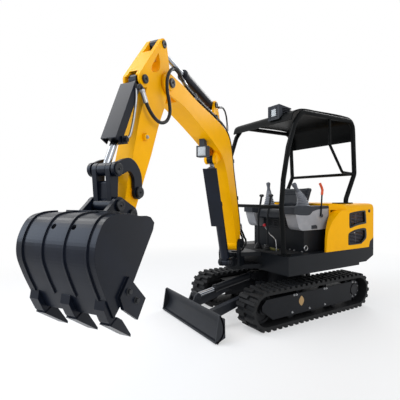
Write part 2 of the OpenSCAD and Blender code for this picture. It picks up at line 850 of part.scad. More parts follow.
module seat_base() {
    slot_l = 110;
    slot_h = 9;
    color([0.12, 0.12, 0.13]) {
        translate([box_rear, seat_y - box_half, deck_z + seat_gap])
            cube([box_front - box_rear, 2 * box_half, box_z - deck_z - seat_gap]);
        difference() {
            translate([cushion_rear, seat_y - seat_w / 2, box_z - 1])
                cube([box_front - 10 - cushion_rear, seat_w, seat_box_z - box_z + 1]);
            for (z = [box_z + 22:22:seat_box_z - 20], y = [-1, 0, 1])
                translate([box_front - 30, seat_y + y * (slot_l + 25) - slot_l / 2, z])
                    cube([40, slot_l, slot_h]);
        }
    }
}

module seat_cushion() {
    color([0.08, 0.08, 0.09]) translate([cushion_rear, seat_y - seat_w / 2, seat_box_z + seat_gap])
        cube([cushion_front - cushion_rear, seat_w, cushion_z - seat_box_z - seat_gap]);
}

module seat_back() {
    low = cushion_z + seat_gap;
    color([0.08, 0.08, 0.09]) plate(seat_y - seat_w / 2 + 15, seat_y + seat_w / 2 - 15)
        polygon([[cushion_rear, low], [cushion_rear + back_t, low],
                 [cushion_rear + back_t - back_lean, back_z], [cushion_rear - back_lean, back_z]]);
}

// A control pod beside the seat, with a round belly
module pod(side) {
    outline = rounded_path([[box_rear, pod_z], [box_rear, box_z + seat_gap], [190, box_z + seat_gap],
                            [262, pod_z - 30], [150, pod_z]], 70, 6);
    translate([0, seat_y, 0]) mirror([0, side < 0 ? 1 : 0, 0]) plate(pod_in, pod_out) polygon(outline);
}
module console_left() { color([0.5, 0.5, 0.52]) pod(1); }
module console_right() { color([0.5, 0.5, 0.52]) pod(-1); }

// A joystick in its bellows, which stands on a pod
module joystick(x, y, lean) {
    bellows_h = 165;
    bellows_r = 62;
    grip_r = 19;
    translate([x, y, pod_z + seat_gap]) {
        intersection() {
            translate([0, 0, -60]) rotate([0, lean, 0])
                cylinder(r1 = bellows_r + 20, r2 = grip_r + 3, h = bellows_h + 60);
            translate([-300, -300, 0]) cube(600);
        }
        rotate([0, lean, 0]) translate([0, 0, bellows_h - 10]) cylinder(r1 = grip_r, r2 = grip_r + 6, h = 60);
    }
}
stick_y = (pod_in + pod_out) / 2;

module joysticks() {
    color([0.08, 0.08, 0.09]) {
        joystick(75, seat_y + stick_y, 30);
        joystick(-55, seat_y - stick_y, 5);
    }
}

module safety_lever() {
    lever_r = 8;
    y = seat_y + pod_out + lever_r + seat_gap;
    color([0.85, 0.3, 0.1])
        bent_pipe([[-108, y, 985], [-122, y, 1198], [-132, y, 1250], [-96, y, 1309]], lever_r, 30);
}

module travel_levers() {
    lever_r = 11;
    lever_y = 70;
    color([0.1, 0.1, 0.11]) for (side = [-1, 1]) {
        y = seat_y + side * lever_y;
        bent_pipe([[320, y, deck_z + seat_gap], [320, y, 980], [275, y, 1190]], lever_r, 60);
        translate([320, y, deck_z + seat_gap]) cylinder(r1 = 38, r2 = 22, h = 50);
    }
}

// Boom, arm and bucket

post_in = boom_half + 5;
post_t = 25;

module swing_post() {
    lug_in = eye_half + side_gap + 1;
    color([0.11, 0.11, 0.12]) boom_plane() difference() {
        union() {
            translate([0, 0, post_low_z]) cylinder(r = 80, h = post_high_z - post_low_z);
            translate([0, -post_in - post_t, post_low_z])
                cube([150, 2 * (post_in + post_t), post_high_z - post_low_z]);
            both_plates(post_in, post_in + post_t)
                polygon(concat([[102, post_low_z], [150, post_low_z], [170, 640]],
                               [for (a = [-20:20:160]) foot_pin + 52 * [cos(a), sin(a)]], [[102, 700]]));
            both_plates(lug_in, lug_in + 25) strap([130, 560], boom_cyl_base, 45, 38);
            both_across(foot_pin, 34, post_in, post_in + post_t + 10);
        }
        translate([0, 0, post_low_z - 1]) cylinder(r = swing_pin_r + 0.1, h = 200);
    }
    color([0.3, 0.3, 0.31]) boom_plane() {
        across(foot_pin, pin_r, -post_in - 30, post_in + 30);
        across(boom_cyl_base, pin_r, -eye_half - 32, eye_half + 32);
    }
}

// The boom seen from its left side: a back edge and an inner edge
boom_back = curve([[42, 745], [52, 900], [112, 1075], [178, 1259], [243, 1434], [284, 1580], [340, 1690],
                   [440, 1756], [560, 1788], [731, 1818], [970, 1854], [1111, 1882], [1223, 1908],
                   [1400, 1932]], 3);
boom_inner = curve([[160, 742], [205, 900], [320, 1180], [420, 1400], [520, 1520], [660, 1590],
                    [848, 1660], [1208, 1772], [1390, 1800]], 4);
foot_r = 62;
tip_r = 66;

module boom_outline() {
    polygon(concat(boom_back, reversed(boom_inner)));
    translate(foot_pin) circle(foot_r);
    translate(arm_pin) circle(tip_r);
}

module boom() {
    slot_half = boom_half - fork_t;
    lug_in = eye_half + side_gap;
    lug_t = 17;
    color([0.96, 0.72, 0.05]) boom_plane() difference() {
        union() {
            plate(-boom_half, boom_half) boom_outline();
            both_plates(lug_in, lug_in + lug_t) strap(boom_cyl_rod, boom_cyl_rod + [-90, 70], 40, 60);
            both_plates(lug_in, lug_in + lug_t) strap(arm_cyl_base, arm_cyl_base + [-20, -130], 36, 74);
            both_across(arm_pin, 44, boom_half - 1, boom_half + 14);
            both_across(boom_cyl_rod, 30, lug_in, lug_in + lug_t + 8);
        }
        plate(-slot_half, slot_half) translate(arm_pin)
            polygon([[-190, 90], [-190, 36], [-120, -10], [-120, -110], [130, -110], [130, 90]]);
        plate(-lug_in, lug_in) translate(boom_cyl_rod) circle(112);
        plate(-lug_in, lug_in) translate(arm_cyl_base) circle(44);
        across(foot_pin, pin_r + 0.1, -200, 200);
        across(arm_pin, pin_r + 0.1, -200, 200);
    }
    color([0.25, 0.25, 0.26]) boom_plane()
        across(arm_cyl_base, pin_r, -lug_in - lug_t - 4, lug_in + lug_t + 4);
}

// The hard pipes along the back of the boom, held off it by clamps
pipe_y = 60;
pipe_r = 6;
pipe_off = 20;
pipe_at = [[-8, 0], [8, 0], [0, 15]];
clamp_l = 34;
clamp_w = 26;
clamp_at = [7, 13, 25, 31];

module boom_pipes() {
    color([0.1, 0.1, 0.11]) boom_plane() {
        for (at = pipe_at) {
            path = beside(boom_back, pipe_off + at[1]);
            swept_pipe([for (i = [3:len(path) - 5]) [path[i][0], pipe_y + at[0], path[i][1]]],
                       [0, 1, 0], pipe_r, 8);
        }
        for (i = clamp_at) translate([boom_back[i][0], pipe_y, boom_back[i][1]])
            rotate([0, -heading(boom_back[i], boom_back[i + 1]), 0])
                translate([3, -clamp_w / 2, seat_gap])
                    cube([clamp_l, clamp_w, pipe_off + pipe_at[2][1] + pipe_r + 3]);
    }
}

// Height of the boom's inner edge at a distance from the swing axis
function inner_at(r) = lookup(r, [for (p = boom_inner) [p[0], p[1]]]);

lamp_r = [725, 790];
lamp_half = 44;
lamp_z = [1494, 1582];

// The lamp under the boom, on a bracket that follows the inner edge
module boom_lamp() {
    lens_edge = 8;
    lens_depth = 6;
    bracket = [lamp_r[0] + 8, lamp_r[1] - 8];
    color([0.15, 0.15, 0.16]) boom_plane() difference() {
        union() {
            plate(-lamp_half, lamp_half) translate([lamp_r[0], lamp_z[0]])
                square([lamp_r[1] - lamp_r[0], lamp_z[1] - lamp_z[0]]);
            plate(-lamp_half / 2, lamp_half / 2) polygon(concat(
                [[bracket[0], lamp_z[1] - 1], [bracket[1], lamp_z[1] - 1],
                 [bracket[1], inner_at(bracket[1]) - seat_gap]],
                [for (p = reversed(boom_inner)) if (p[0] > bracket[0] && p[0] < bracket[1]) p - [0, seat_gap]],
                [[bracket[0], inner_at(bracket[0]) - seat_gap]]));
        }
        translate([lamp_r[1] - lens_depth, -lamp_half + lens_edge, lamp_z[0] + lens_edge])
            cube([lens_depth + 1, 2 * (lamp_half - lens_edge), lamp_z[1] - lamp_z[0] - 2 * lens_edge]);
    }
}

boom_cyl_l = norm(boom_cyl_rod - boom_cyl_base);
module boom_barrel() {
    color([0.1, 0.1, 0.11]) boom_plane() cylinder_line(boom_cyl_base, boom_cyl_rod)
        barrel(590, boom_barrel_r, eye_r, eye_half);
}
// The rod carries a guard plate on its outer side, which slides along with it
guard_half = 62;
guard_l = 590;
guard_start = 62;
guard_foot = 24;
guard_t = 8;
guard_gap = 9;

module boom_rod() {
    far = boom_barrel_r + gland_t + guard_gap;
    color([0.7, 0.71, 0.73]) boom_plane() cylinder_line(boom_cyl_base, boom_cyl_rod) {
        rod(380, boom_cyl_l, 34, eye_half);
        translate([boom_cyl_l - guard_l, -guard_half, -far - guard_t])
            cube([guard_l - guard_start, 2 * guard_half, guard_t]);
        translate([boom_cyl_l - guard_start - guard_foot, -eye_half, -far - 1])
            cube([guard_foot, 2 * eye_half, far + 1]);
    }
}

// The arm seen from its left side: its rear edge downward, then its front edge upward
arm_edge = [[1408, 1810], [1438, 1715], [1500, 1603], [1582, 1414], [1668, 1244], [1750, 1075],
            [1832, 1106], [1800, 1250], [1758, 1380], [1692, 1607], [1655, 1698], [1622, 1796]];
horn_r = 34;
horn_window = curve([[1506, 2022], [1533, 1979], [1582, 1906], [1566, 1890], [1500, 1922], [1487, 1974],
                     [1506, 2022]], 5);

module arm_outline() {
    strap(arm_pin, arm_cyl_rod, 58, horn_r);
    strap(arm_cyl_rod, bucket_cyl_base, horn_r, 44);
    strap(bucket_pin, rocker_pin, 37, 38);
    polygon(concat([arm_pin], arm_edge, [bucket_cyl_base, arm_cyl_rod]));
    translate(arm_pin) circle(60);
}

module arm() {
    slot = eye_half + side_gap;
    barrel_room = bucket_barrel_r + 10;
    color([0.96, 0.72, 0.05]) boom_plane() difference() {
        union() {
            plate(-arm_half, arm_half) arm_outline();
            both_across(arm_pin, 60, arm_half - 1, arm_half + 3);
            both_across(rocker_pin, 34, arm_half - 1, link_in - 1);
            both_across(bucket_pin, 36, arm_half - 1, arm_half + 4);
            across(rocker_pin, pin_r, -link_in - link_t - 8, link_in + link_t + 8);
            across(arm_pin, pin_r, -boom_half - 22, boom_half + 22);
        }
        plate(-slot, slot) translate(arm_cyl_rod) circle(125);
        plate(-slot, slot) translate(bucket_cyl_base) circle(50);
        plate(-barrel_room, barrel_room) translate(bucket_cyl_base) for (swing = [2, -6])
            rotate(heading(bucket_cyl_base, upper_pin) + swing)
                translate([0, -barrel_room]) square([400, 2 * barrel_room]);
        plate(-arm_half - 1, arm_half + 1) polygon(horn_window);
        across(bucket_pin, pin_r + 0.1, -200, 200);
    }
    color([0.25, 0.25, 0.26]) boom_plane() across(bucket_cyl_base, pin_r, -arm_half - 8, arm_half + 8);
}

arm_cyl_l = norm(arm_cyl_rod - arm_cyl_base);
module arm_barrel() {
    color([0.1, 0.1, 0.11]) boom_plane() cylinder_line(arm_cyl_base, arm_cyl_rod)
        barrel(510, arm_barrel_r, 34, eye_half);
}
module arm_rod() {
    color([0.75, 0.76, 0.78]) boom_plane() cylinder_line(arm_cyl_base, arm_cyl_rod)
        rod(260, arm_cyl_l, 34, eye_half);
}

bucket_cyl_l = norm(upper_pin - bucket_cyl_base);
// A channel guards the outer side of this barrel
channel_half = 48;
channel_t = 5;
channel_x = [62, 418];

module bucket_barrel() {
    far = bucket_barrel_r + gland_t + 8;
    color([0.1, 0.1, 0.11]) boom_plane() cylinder_line(bucket_cyl_base, upper_pin) {
        barrel(400, bucket_barrel_r, 34, eye_half);
        translate([channel_x[0], -channel_half, far])
            cube([channel_x[1] - channel_x[0], 2 * channel_half, channel_t]);
        for (side = [0, 1]) mirror([0, side, 0]) translate([channel_x[0], channel_half - channel_t, 0])
            cube([channel_x[1] - channel_x[0], channel_t, far + 1]);
        for (x = [channel_x[0] + 20, channel_x[1] - 120])
            translate([x, -18, bucket_barrel_r - 8]) cube([26, 36, far - bucket_barrel_r + 9]);
    }
}
module bucket_rod() {
    color([0.75, 0.76, 0.78]) boom_plane() cylinder_line(bucket_cyl_base, upper_pin)
        rod(110, bucket_cyl_l, 32, eye_half);
}

module rocker_links() {
    bow = curve([upper_pin, [1812, 1338], [1752, 1290], rocker_pin], 6);
    color([0.1, 0.1, 0.11]) boom_plane() difference() {
        both_plates(link_in, link_in + link_t) {
            polygon(concat(beside(bow, link_half), reversed(beside(bow, -link_half))));
            translate(upper_pin) circle(36);
            translate(rocker_pin) circle(36);
        }
        both_across(upper_pin, 27, link_in + link_t - 1, link_in + link_t + 9);
        across(rocker_pin, pin_r + 0.1, -200, 200);
    }
}

module bucket_link() {
    color([0.1, 0.1, 0.11]) boom_plane() difference() {
        union() {
            both_plates(eye_half + side_gap, arm_half) strap(upper_pin, ear_pin, 33, 22);
            across(ear_pin, 32, -arm_half, arm_half);
            plate(-arm_half, arm_half)
                strap(lerp(ear_pin, upper_pin, 0.2), lerp(ear_pin, upper_pin, 0.62), 12, 12);
        }
        across(ear_pin, pin_r + 0.1, -200, 200);
    }
}

// The bucket's skin seen from its left side, from behind the pins round the back to the lip
bucket_curve = curve([[1852, 1002], [1884, 1060], [1930, 1090], [2050, 1106], [2150, 1088], [2206, 1010],
                      [2216, 930], [2190, 850], [2150, 765], [2108, 682]], 6);
bucket_half = bucket_w / 2;
side_t = 12;
rib_y = [-180, -60, 60, 180];
rib_w = 8;
rib_h = 7;
rib_span = [17, 48];
drain_y = [-32, 80];
drain_at = 27;
drain_r = 12;
pad_half = 125;
pad_t = 10;
pad_span = [12, 17];
cutter_t = 15;

// A strip that lies on the skin, between two of its points
module skin_strip(span, thick) {
    run = [for (i = [span[0]:span[1]]) bucket_curve[i]];
    polygon(concat(beside(run, -1), reversed(beside(run, thick))));
}

module bucket_side() {
    rim = [for (i = [12:len(bucket_curve) - 1]) bucket_curve[i]];
    polygon(concat([[1807, 1052], [1838, 1080], [1872, 1088]], rim, [[1972, 805], [1818, 1017]]));
}

// The bolted cutter on the front edge of a side
module cutter() {
    polygon([[2086, 762], [2024, 836], [1984, 794], [1903, 712], [1965, 632], [2062, 704]]);
}

module ear() {
    strap(bucket_pin, ear_pin, 44, 42);
    polygon([bucket_pin + [20, -38], [1880, 1050], [1935, 1086], [2010, 1098], ear_pin + [20, 36], ear_pin]);
}

module drain(y) {
    p = bucket_curve[drain_at];
    t = unit(bucket_curve[drain_at + 1] - bucket_curve[drain_at - 1]);
    n = 30 * [-t[1], t[0]];
    rod_between([p[0] - n[0], y, p[1] - n[1]], [p[0] + n[0], y, p[1] + n[1]], drain_r);
}

module bucket() {
    ear_in = link_in;
    ear_t = 20;
    color([0.1, 0.1, 0.11]) boom_plane() difference() {
        union() {
            plate(-bucket_half, bucket_half)
                polygon(concat(bucket_curve, reversed(beside(bucket_curve, -bucket_t))));
            both_plates(bucket_half - side_t, bucket_half) bucket_side();
            both_plates(bucket_half - 1, bucket_half + cutter_t) cutter();
            for (y = rib_y) plate(y - rib_w / 2, y + rib_w / 2) skin_strip(rib_span, rib_h);
            plate(-pad_half, pad_half) skin_strip(pad_span, pad_t);
            both_plates(ear_in, ear_in + ear_t) ear();
            across(bucket_pin, pin_r, -ear_in - ear_t - 6, ear_in + ear_t + 6);
            across(ear_pin, pin_r, -ear_in - ear_t - 6, ear_in + ear_t + 6);
        }
        for (y = drain_y) drain(y);
    }
}

tooth_l = 150;
tooth_hook = 50;
adapter_t = 24;
point_start = 18;
point_extra = 4;

// A tooth's adapter, which lies on the lip's outer face and round its edge, seen from its side
module adapter_side() {
    count = len(bucket_curve);
    seat = beside(bucket_curve, seat_gap);
    under = beside(bucket_curve, adapter_t);
    lip = lip_way();
    tip = bucket_curve[count - 1];
    polygon(concat([for (i = [count - 7:count - 1]) seat[i]],
                   [tip + lip[0] * seat_gap, tip + lip[0] * seat_gap + lip[1] * bucket_t,
                    tip + lip[0] * 40 + lip[1] * 30, tip + lip[0] * 30 - lip[1] * 18],
                   [for (i = [count - 1:-1:count - 5]) under[i]]));
}

// Directions at the lip: onward and inward
function lip_way() =
    let (count = len(bucket_curve), lip = unit(bucket_curve[count - 1] - bucket_curve[count - 2]))
        [lip, [lip[1], -lip[0]]];

// The tooth's point, which hooks inward
module point_side() {
    lip = lip_way();
    tip = bucket_curve[len(bucket_curve) - 1];
    polygon([tip + lip[0] * point_start - lip[1] * (adapter_t + 2), tip + lip[0] * point_start + lip[1] * 24,
             tip + lip[0] * (point_start + 30) + lip[1] * 40,
             tip + lip[0] * tooth_l + lip[1] * (tooth_hook + 6),
             tip + lip[0] * (tooth_l + 8) + lip[1] * tooth_hook]);
}

module bucket_teeth() {
    color([0.1, 0.1, 0.11]) boom_plane()
        for (y = [-1, 0, 1]) translate([0, y * (bucket_half - tooth_w / 2 - 8), 0]) {
            plate(-tooth_w / 2, tooth_w / 2) adapter_side();
            plate(-tooth_w / 2 - point_extra, tooth_w / 2 + point_extra) point_side();
        }
}

track_frame();
track_beams();
track_left();
track_right();
sprockets();
idlers();
track_rollers();
track_covers();
slew_ring();
blade();
blade_barrel();
blade_rod();
platform();
counterweight();
engine();
hood_left();
hood_right();
hood_top();
vent_screens();
engine_door();
canopy_frame();
canopy_roof();
roof_lamp();
seat_base();
seat_cushion();
seat_back();
console_left();
console_right();
joysticks();
safety_lever();
travel_levers();
swing_post();
boom();
boom_pipes();
boom_lamp();
boom_barrel();
boom_rod();
arm();
arm_barrel();
arm_rod();
bucket_barrel();
bucket_rod();
rocker_links();
bucket_link();
bucket();
bucket_teeth();
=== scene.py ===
# %% [markdown]
# # A mini excavator, dressed for the studio
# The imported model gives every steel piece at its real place, and all but the blade stay as packed.
# This lesson adds what the eye looks for next: paint, rubber, hoses, bolts, cushions and lamps.
# Each step says what the real thing is, and why it is made this way.

# %% Load the frame
import math

import bpy
import numpy as np
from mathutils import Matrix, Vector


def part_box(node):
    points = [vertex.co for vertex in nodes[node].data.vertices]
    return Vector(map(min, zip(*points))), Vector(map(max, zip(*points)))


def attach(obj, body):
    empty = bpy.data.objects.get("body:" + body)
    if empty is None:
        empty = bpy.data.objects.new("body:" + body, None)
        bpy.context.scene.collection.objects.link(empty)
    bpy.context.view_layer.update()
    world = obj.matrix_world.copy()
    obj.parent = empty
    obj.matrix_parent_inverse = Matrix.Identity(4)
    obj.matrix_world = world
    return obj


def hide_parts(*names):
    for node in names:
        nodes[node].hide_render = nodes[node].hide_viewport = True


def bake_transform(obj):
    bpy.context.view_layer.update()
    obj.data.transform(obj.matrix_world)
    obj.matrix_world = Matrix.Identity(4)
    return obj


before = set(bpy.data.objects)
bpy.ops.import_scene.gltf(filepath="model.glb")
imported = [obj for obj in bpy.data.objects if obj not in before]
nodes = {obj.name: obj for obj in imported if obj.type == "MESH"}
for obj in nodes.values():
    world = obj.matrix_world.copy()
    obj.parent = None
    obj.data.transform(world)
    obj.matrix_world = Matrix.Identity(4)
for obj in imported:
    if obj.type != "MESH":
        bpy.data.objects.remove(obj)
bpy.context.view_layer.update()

# %% [markdown]
# ## The camera
# The photograph was taken with a short lens at about the height of the seat, ahead and to the left.
# The place, turn and lens were fitted to the tracks, blade and canopy,
# so the picture lines up with the photo.

# %% Camera
IMAGE_PX = 400
FOCAL_PX = 336.6
SENSOR_MM = 36.0
CAMERA_PLACE = (2.698, 2.692, 1.174)
CAMERA_YAW = math.radians(58.6)
CAMERA_PITCH = math.radians(0.44)


def make_camera():
    """A camera that looks back along the yaw and slightly down."""
    data = bpy.data.cameras.new("camera")
    data.sensor_width = SENSOR_MM
    data.lens = FOCAL_PX / IMAGE_PX * SENSOR_MM
    camera = bpy.data.objects.new("camera", data)
    camera.location = CAMERA_PLACE
    camera.rotation_euler = (math.pi / 2 - CAMERA_PITCH, 0, CAMERA_YAW + math.pi / 2)
    bpy.context.scene.collection.objects.link(camera)
    bpy.context.scene.camera = camera
    return camera


camera = make_camera()
print("lens", round(camera.data.lens, 2), "mm")

# %% [markdown]
# ## Colour and nodes
# Paint makers give colours as sRGB values, and shaders want linear light,
# so one function turns the first into the second.
# A second small function adds a shader node, sets its values and links its inputs.

# %% Colour and nodes


def hex_colour(text):
    """Linear red, green, blue and alpha of a colour such as #F0B310."""
    srgb = np.array([int(text[i:i + 2], 16) for i in (1, 3, 5)]) / 255
    linear = np.where(srgb <= 0.04045, srgb / 12.92, ((srgb + 0.055) / 1.055) ** 2.4)
    return (*linear.tolist(), 1.0)


def add_node(tree, kind, settings=None, links=None):
    """Adds a shader node. Settings name its values or sockets, and links the sockets that others feed."""
    node = tree.nodes.new("ShaderNode" + kind)
    for key, value in (settings or {}).items():
        if key in node.inputs:
            node.inputs[key].default_value = value
        else:
            setattr(node, key, value)
    for key, socket in (links or {}).items():
        tree.links.new(socket, node.inputs[key])
    return node


def new_material(name):
    """An empty node material with its output."""
    material = bpy.data.materials.new(name)
    material.use_nodes = True
    material.node_tree.nodes.clear()
    output = add_node(material.node_tree, "OutputMaterial")
    return material, material.node_tree, output


MIX_LOW = 6
MIX_HIGH = 7
MIX_COLOUR = 2


def ramp(tree, low, high, source, start=0.35, end=0.65):
    """Mixes two colours as a value goes from start to end.

    A mix node has other sockets of the same names, so those for colours go by their places."""
    share = add_node(tree, "MapRange", {"From Min": start, "From Max": end}, {"Value": source})
    mix = add_node(tree, "Mix", {"data_type": "RGBA"}, {"Factor": share.outputs["Result"]})
    mix.inputs[MIX_LOW].default_value = low
    mix.inputs[MIX_HIGH].default_value = high
    return mix.outputs[MIX_COLOUR]


print("helpers ready")

# %% [markdown]
# ## Painted steel
# The machine is sprayed in two-pack enamel over welded plate.
# It gives a thin gloss, a fine orange peel a few millimetres across, and a little dust in broad patches.
# Plates also have eased edges, so a small bevel in the shading catches the light there.

# %% Painted steel
EDGE_EASE = 0.003
EDGE_SAMPLES = 4
PEEL_MM = 4.0
PEEL_HEIGHT = 0.00012
DUST_PATCH_MM = 260.0


def painted_steel(name, fresh, dusty, roughness, coat, shine):
    """Enamel on steel: two near tones in patches, orange peel as bump, and eased edges."""
    material, tree, output = new_material(name)
    place = add_node(tree, "TexCoord").outputs["Object"]
    patch = add_node(tree, "TexNoise", {"Scale": 1000 / DUST_PATCH_MM, "Detail": 5.0, "Roughness": 0.62},
                     {"Vector": place})
    peel = add_node(tree, "TexNoise", {"Scale": 1000 / PEEL_MM, "Detail": 2.0}, {"Vector": place})
    gloss = add_node(tree, "MapRange", {"To Min": roughness - 0.06, "To Max": roughness + 0.1},
                     {"Value": patch.outputs["Fac"]})
    edge = add_node(tree, "Bevel", {"samples": EDGE_SAMPLES, "Radius": EDGE_EASE})
    bump = add_node(tree, "Bump", {"Strength": 0.5, "Distance": PEEL_HEIGHT},
                    {"Height": peel.outputs["Fac"], "Normal": edge.outputs["Normal"]})
    tone = ramp(tree, hex_colour(fresh), hex_colour(dusty), patch.outputs["Fac"], 0.42, 0.74)
    shader = add_node(tree, "BsdfPrincipled",
                      {"Coat Weight": coat, "Coat Roughness": 0.12, "IOR": 1.5, "Specular IOR Level": shine},
                      {"Base Color": tone, "Roughness": gloss.outputs["Result"],
                       "Normal": bump.outputs["Normal"]})
    tree.links.new(shader.outputs[0], output.inputs[0])
    return material


# A warm yellow with hardly any mirror shine, so that the white studio doesn't wash out the large panels.
yellow_enamel = painted_steel("yellow_enamel", "#F2AE00", "#E8A400", 0.36, 0.02, shine=0.07)
# The deepest black, so that the thin canopy stands sharp against the white.
canopy_enamel = painted_steel("canopy_enamel", "#050708", "#0A0C0E", 0.42, 0.02, shine=0.07)
# A cool black with a little shine, which lets the edges of the deck's plates show.
black_enamel = painted_steel("black_enamel", "#0F1216", "#15181D", 0.4, 0.03, shine=0.14)
# A rougher black for the chassis, which looks dry beside the deck.
chassis_enamel = painted_steel("chassis_enamel", "#101216", "#181A1E", 0.46, 0.02, shine=0.14)
# A grey black, lighter than the chassis black of the same paint: painted light from the front on the blade's
# face, which makes the hollow of its sheet visible.
blade_lit_black = painted_steel("blade_lit_black", "#1C1F24", "#26292F", 0.42, 0.04, shine=0.25)
# A blue black with more gloss, which draws a line of light along round barrels and the bucket's back.
attachment_enamel = painted_steel("attachment_enamel", "#0A0F19", "#101623", 0.3, 0.04, shine=0.17)
print("paints", len(bpy.data.materials))

# %% [markdown]
# ## Rubber, castings, chrome and plastics
# Track rubber is matt and slightly grainy, castings are rough under thin paint,
# and rods are ground and hard chromed.
# The pods beside the seat are moulded with a fine grain, and hoses have a satin rubber cover.

# %% Rubber, castings, chrome and plastics
TONE_PATCHES_PER_M = 9.0


def grained(name, colour, second, roughness, grain_mm, height, metallic=0.0, ease=True, shine=0.25):
    """A moulded, cast or rubber surface: fine grain as bump and a slow change of tone."""
    material, tree, output = new_material(name)
    place = add_node(tree, "TexCoord").outputs["Object"]
    grain = add_node(tree, "TexNoise", {"Scale": 1000 / grain_mm, "Detail": 4.0}, {"Vector": place})
    patch = add_node(tree, "TexNoise", {"Scale": TONE_PATCHES_PER_M, "Detail": 4.0}, {"Vector": place})
    tone = ramp(tree, hex_colour(colour), hex_colour(second), patch.outputs["Fac"])
    bump = add_node(tree, "Bump", {"Strength": 0.6, "Distance": height},
                    {"Height": grain.outputs["Fac"]})
    if ease:
        edge = add_node(tree, "Bevel", {"samples": EDGE_SAMPLES, "Radius": EDGE_EASE})
        tree.links.new(edge.outputs["Normal"], bump.inputs["Normal"])
    shader = add_node(tree, "BsdfPrincipled",
                      {"Roughness": roughness, "Metallic": metallic, "Specular IOR Level": shine},
                      {"Base Color": tone, "Normal": bump.outputs["Normal"]})
    tree.links.new(shader.outputs[0], output.inputs[0])
    return material


# The most matt surface of all: its coarse grain breaks up every reflection.
track_rubber = grained("track_rubber", "#0B0C0E", "#131416", 0.62, 6.0, 0.0006)
# A little lighter than the tracks, so that wheels and rollers stand out in their shade.
cast_iron = grained("cast_iron", "#191A1D", "#232427", 0.5, 5.0, 0.0005)
# Satin, so that a thin line of light follows each loop.
hose_rubber = grained("hose_rubber", "#101113", "#18191B", 0.42, 3.0, 0.0002, ease=False)
# A pale moulding and a dark one, which part the operator's place from the black frame.
grey_abs = grained("grey_abs", "#97979A", "#8B8C90", 0.5, 2.5, 0.0002)
dark_abs = grained("dark_abs", "#23272D", "#2B2F36", 0.5, 2.5, 0.0002)
# A middle grey on which each rib shows as light and shade.
bellows_rubber = grained("bellows_rubber", "#7D8086", "#6C6F76", 0.55, 3.0, 0.0002, ease=False)
# Dark vinyl with a leather grain, soft beside the steel around it.
seat_vinyl = grained("seat_vinyl", "#15191F", "#1D2128", 0.45, 2.2, 0.0005, ease=False)
# The two spots of strong colour, for the levers that a hand must find at once.
orange_grip = grained("orange_grip", "#D9562B", "#C94D26", 0.4, 3.0, 0.0002, ease=False)
red_knob = grained("red_knob", "#B4232F", "#A11D28", 0.35, 3.0, 0.0001, ease=False)
# Two bright metals: dull plate on fittings, and a mirror on the rods.
zinc_plate = grained("zinc_plate", "#A3A4A6", "#8E9093", 0.32, 3.0, 0.0001, metallic=1.0, ease=False)
hard_chrome = grained("hard_chrome", "#A9ADB4", "#9DA1A8", 0.16, 8.0, 0.00003, metallic=1.0, ease=False)
# A grip darker than its bellows, and an olive pedal that lifts off the black mat.
grip_grey = grained("grip_grey", "#5C5F66", "#50535A", 0.5, 2.5, 0.0002, ease=False)
pedal_olive = grained("pedal_olive", "#6E6C3C", "#5F5D34", 0.6, 4.0, 0.0004)
# Oiled steel, dark but glossy, so that the rim of each pin head shines.
pin_steel = grained("pin_steel", "#1B1D21", "#26282C", 0.34, 6.0, 0.0002)
# A tan spot on the dark track covers.
tan_plate = grained("tan_plate", "#A88A5E", "#9C7F55", 0.5, 3.0, 0.0001)
# Pale and smooth, with sharp lights on its flutes.
lamp_glass = grained("lamp_glass", "#B4BABD", "#A4ABAF", 0.1, 12.0, 0.00005, ease=False, shine=0.5)
# Lighter than the dark behind it, so that the mesh can be seen.
screen_wire = grained("screen_wire", "#4B4A52", "#414048", 0.5, 3.0, 0.0002, ease=False)
print("finishes", len(bpy.data.materials))

# %% [markdown]
# ## The boom's plane
# Boom, arm and bucket lie in one upright plane, which is turned about the swing pin.
# Places on them are given in that plane in millimetres, as reach from the pin, left and up.

# %% The boom's plane
MM = 0.001
SWING = math.radians(33.5)
SWING_PIN = np.array([650.0, 0.0, 0.0])
AHEAD = np.array([1.0, 0.0, 0.0])
LEFT = np.array([0.0, 1.0, 0.0])
UP = np.array([0.0, 0.0, 1.0])
BOOM_LEFT = np.array([-math.sin(SWING), math.cos(SWING), 0.0])
BOOM_AHEAD = np.array([math.cos(SWING), math.sin(SWING), 0.0])
BOOM_BARREL_PIN = (255, 572)
BOOM_ROD_PIN = (595, 1492)
ARM_BARREL_PIN = (600, 1940)
ARM_ROD_PIN = (1443, 2096)
BUCKET_BARREL_PIN = (1653, 1820)
BUCKET_ROD_PIN = (1905, 1310)


def metres(points):
    """Points in millimetres (forward, left, up) as metres."""
    return np.asarray(points, float) * MM


def boom_place(points):
    """Points in the boom's plane, (reach, left, up) in millimetres, as metres of the machine.

    x = 650 + reach cos s - left sin s, y = reach sin s + left cos s, where s is the swing at rest."""
    reach, left, up = np.asarray(points, float).T[..., None]
    return (SWING_PIN + reach * BOOM_AHEAD + left * BOOM_LEFT + up * UP) * MM


def boom_plane(points):
    """The way back: points of the machine in metres as (reach, left, up) in millimetres."""
    return (points / MM - SWING_PIN) @ np.column_stack([BOOM_AHEAD, BOOM_LEFT, UP])


def unit(vector):
    """A vector of length one."""
    vector = np.asarray(vector, float)
    return vector / np.linalg.norm(vector)


def mesh_values(mesh, name):
    """The points or normals of a mesh as an array."""
    values = np.empty(len(mesh.vertices) * 3)
    mesh.vertices.foreach_get(name, values)
    return values.reshape(-1, 3)


print("boom turned", round(math.degrees(SWING), 1), "degrees")

# %% [markdown]
# ## Dressing the steel
# This step leaves every solid's shape alone and changes only its finish.

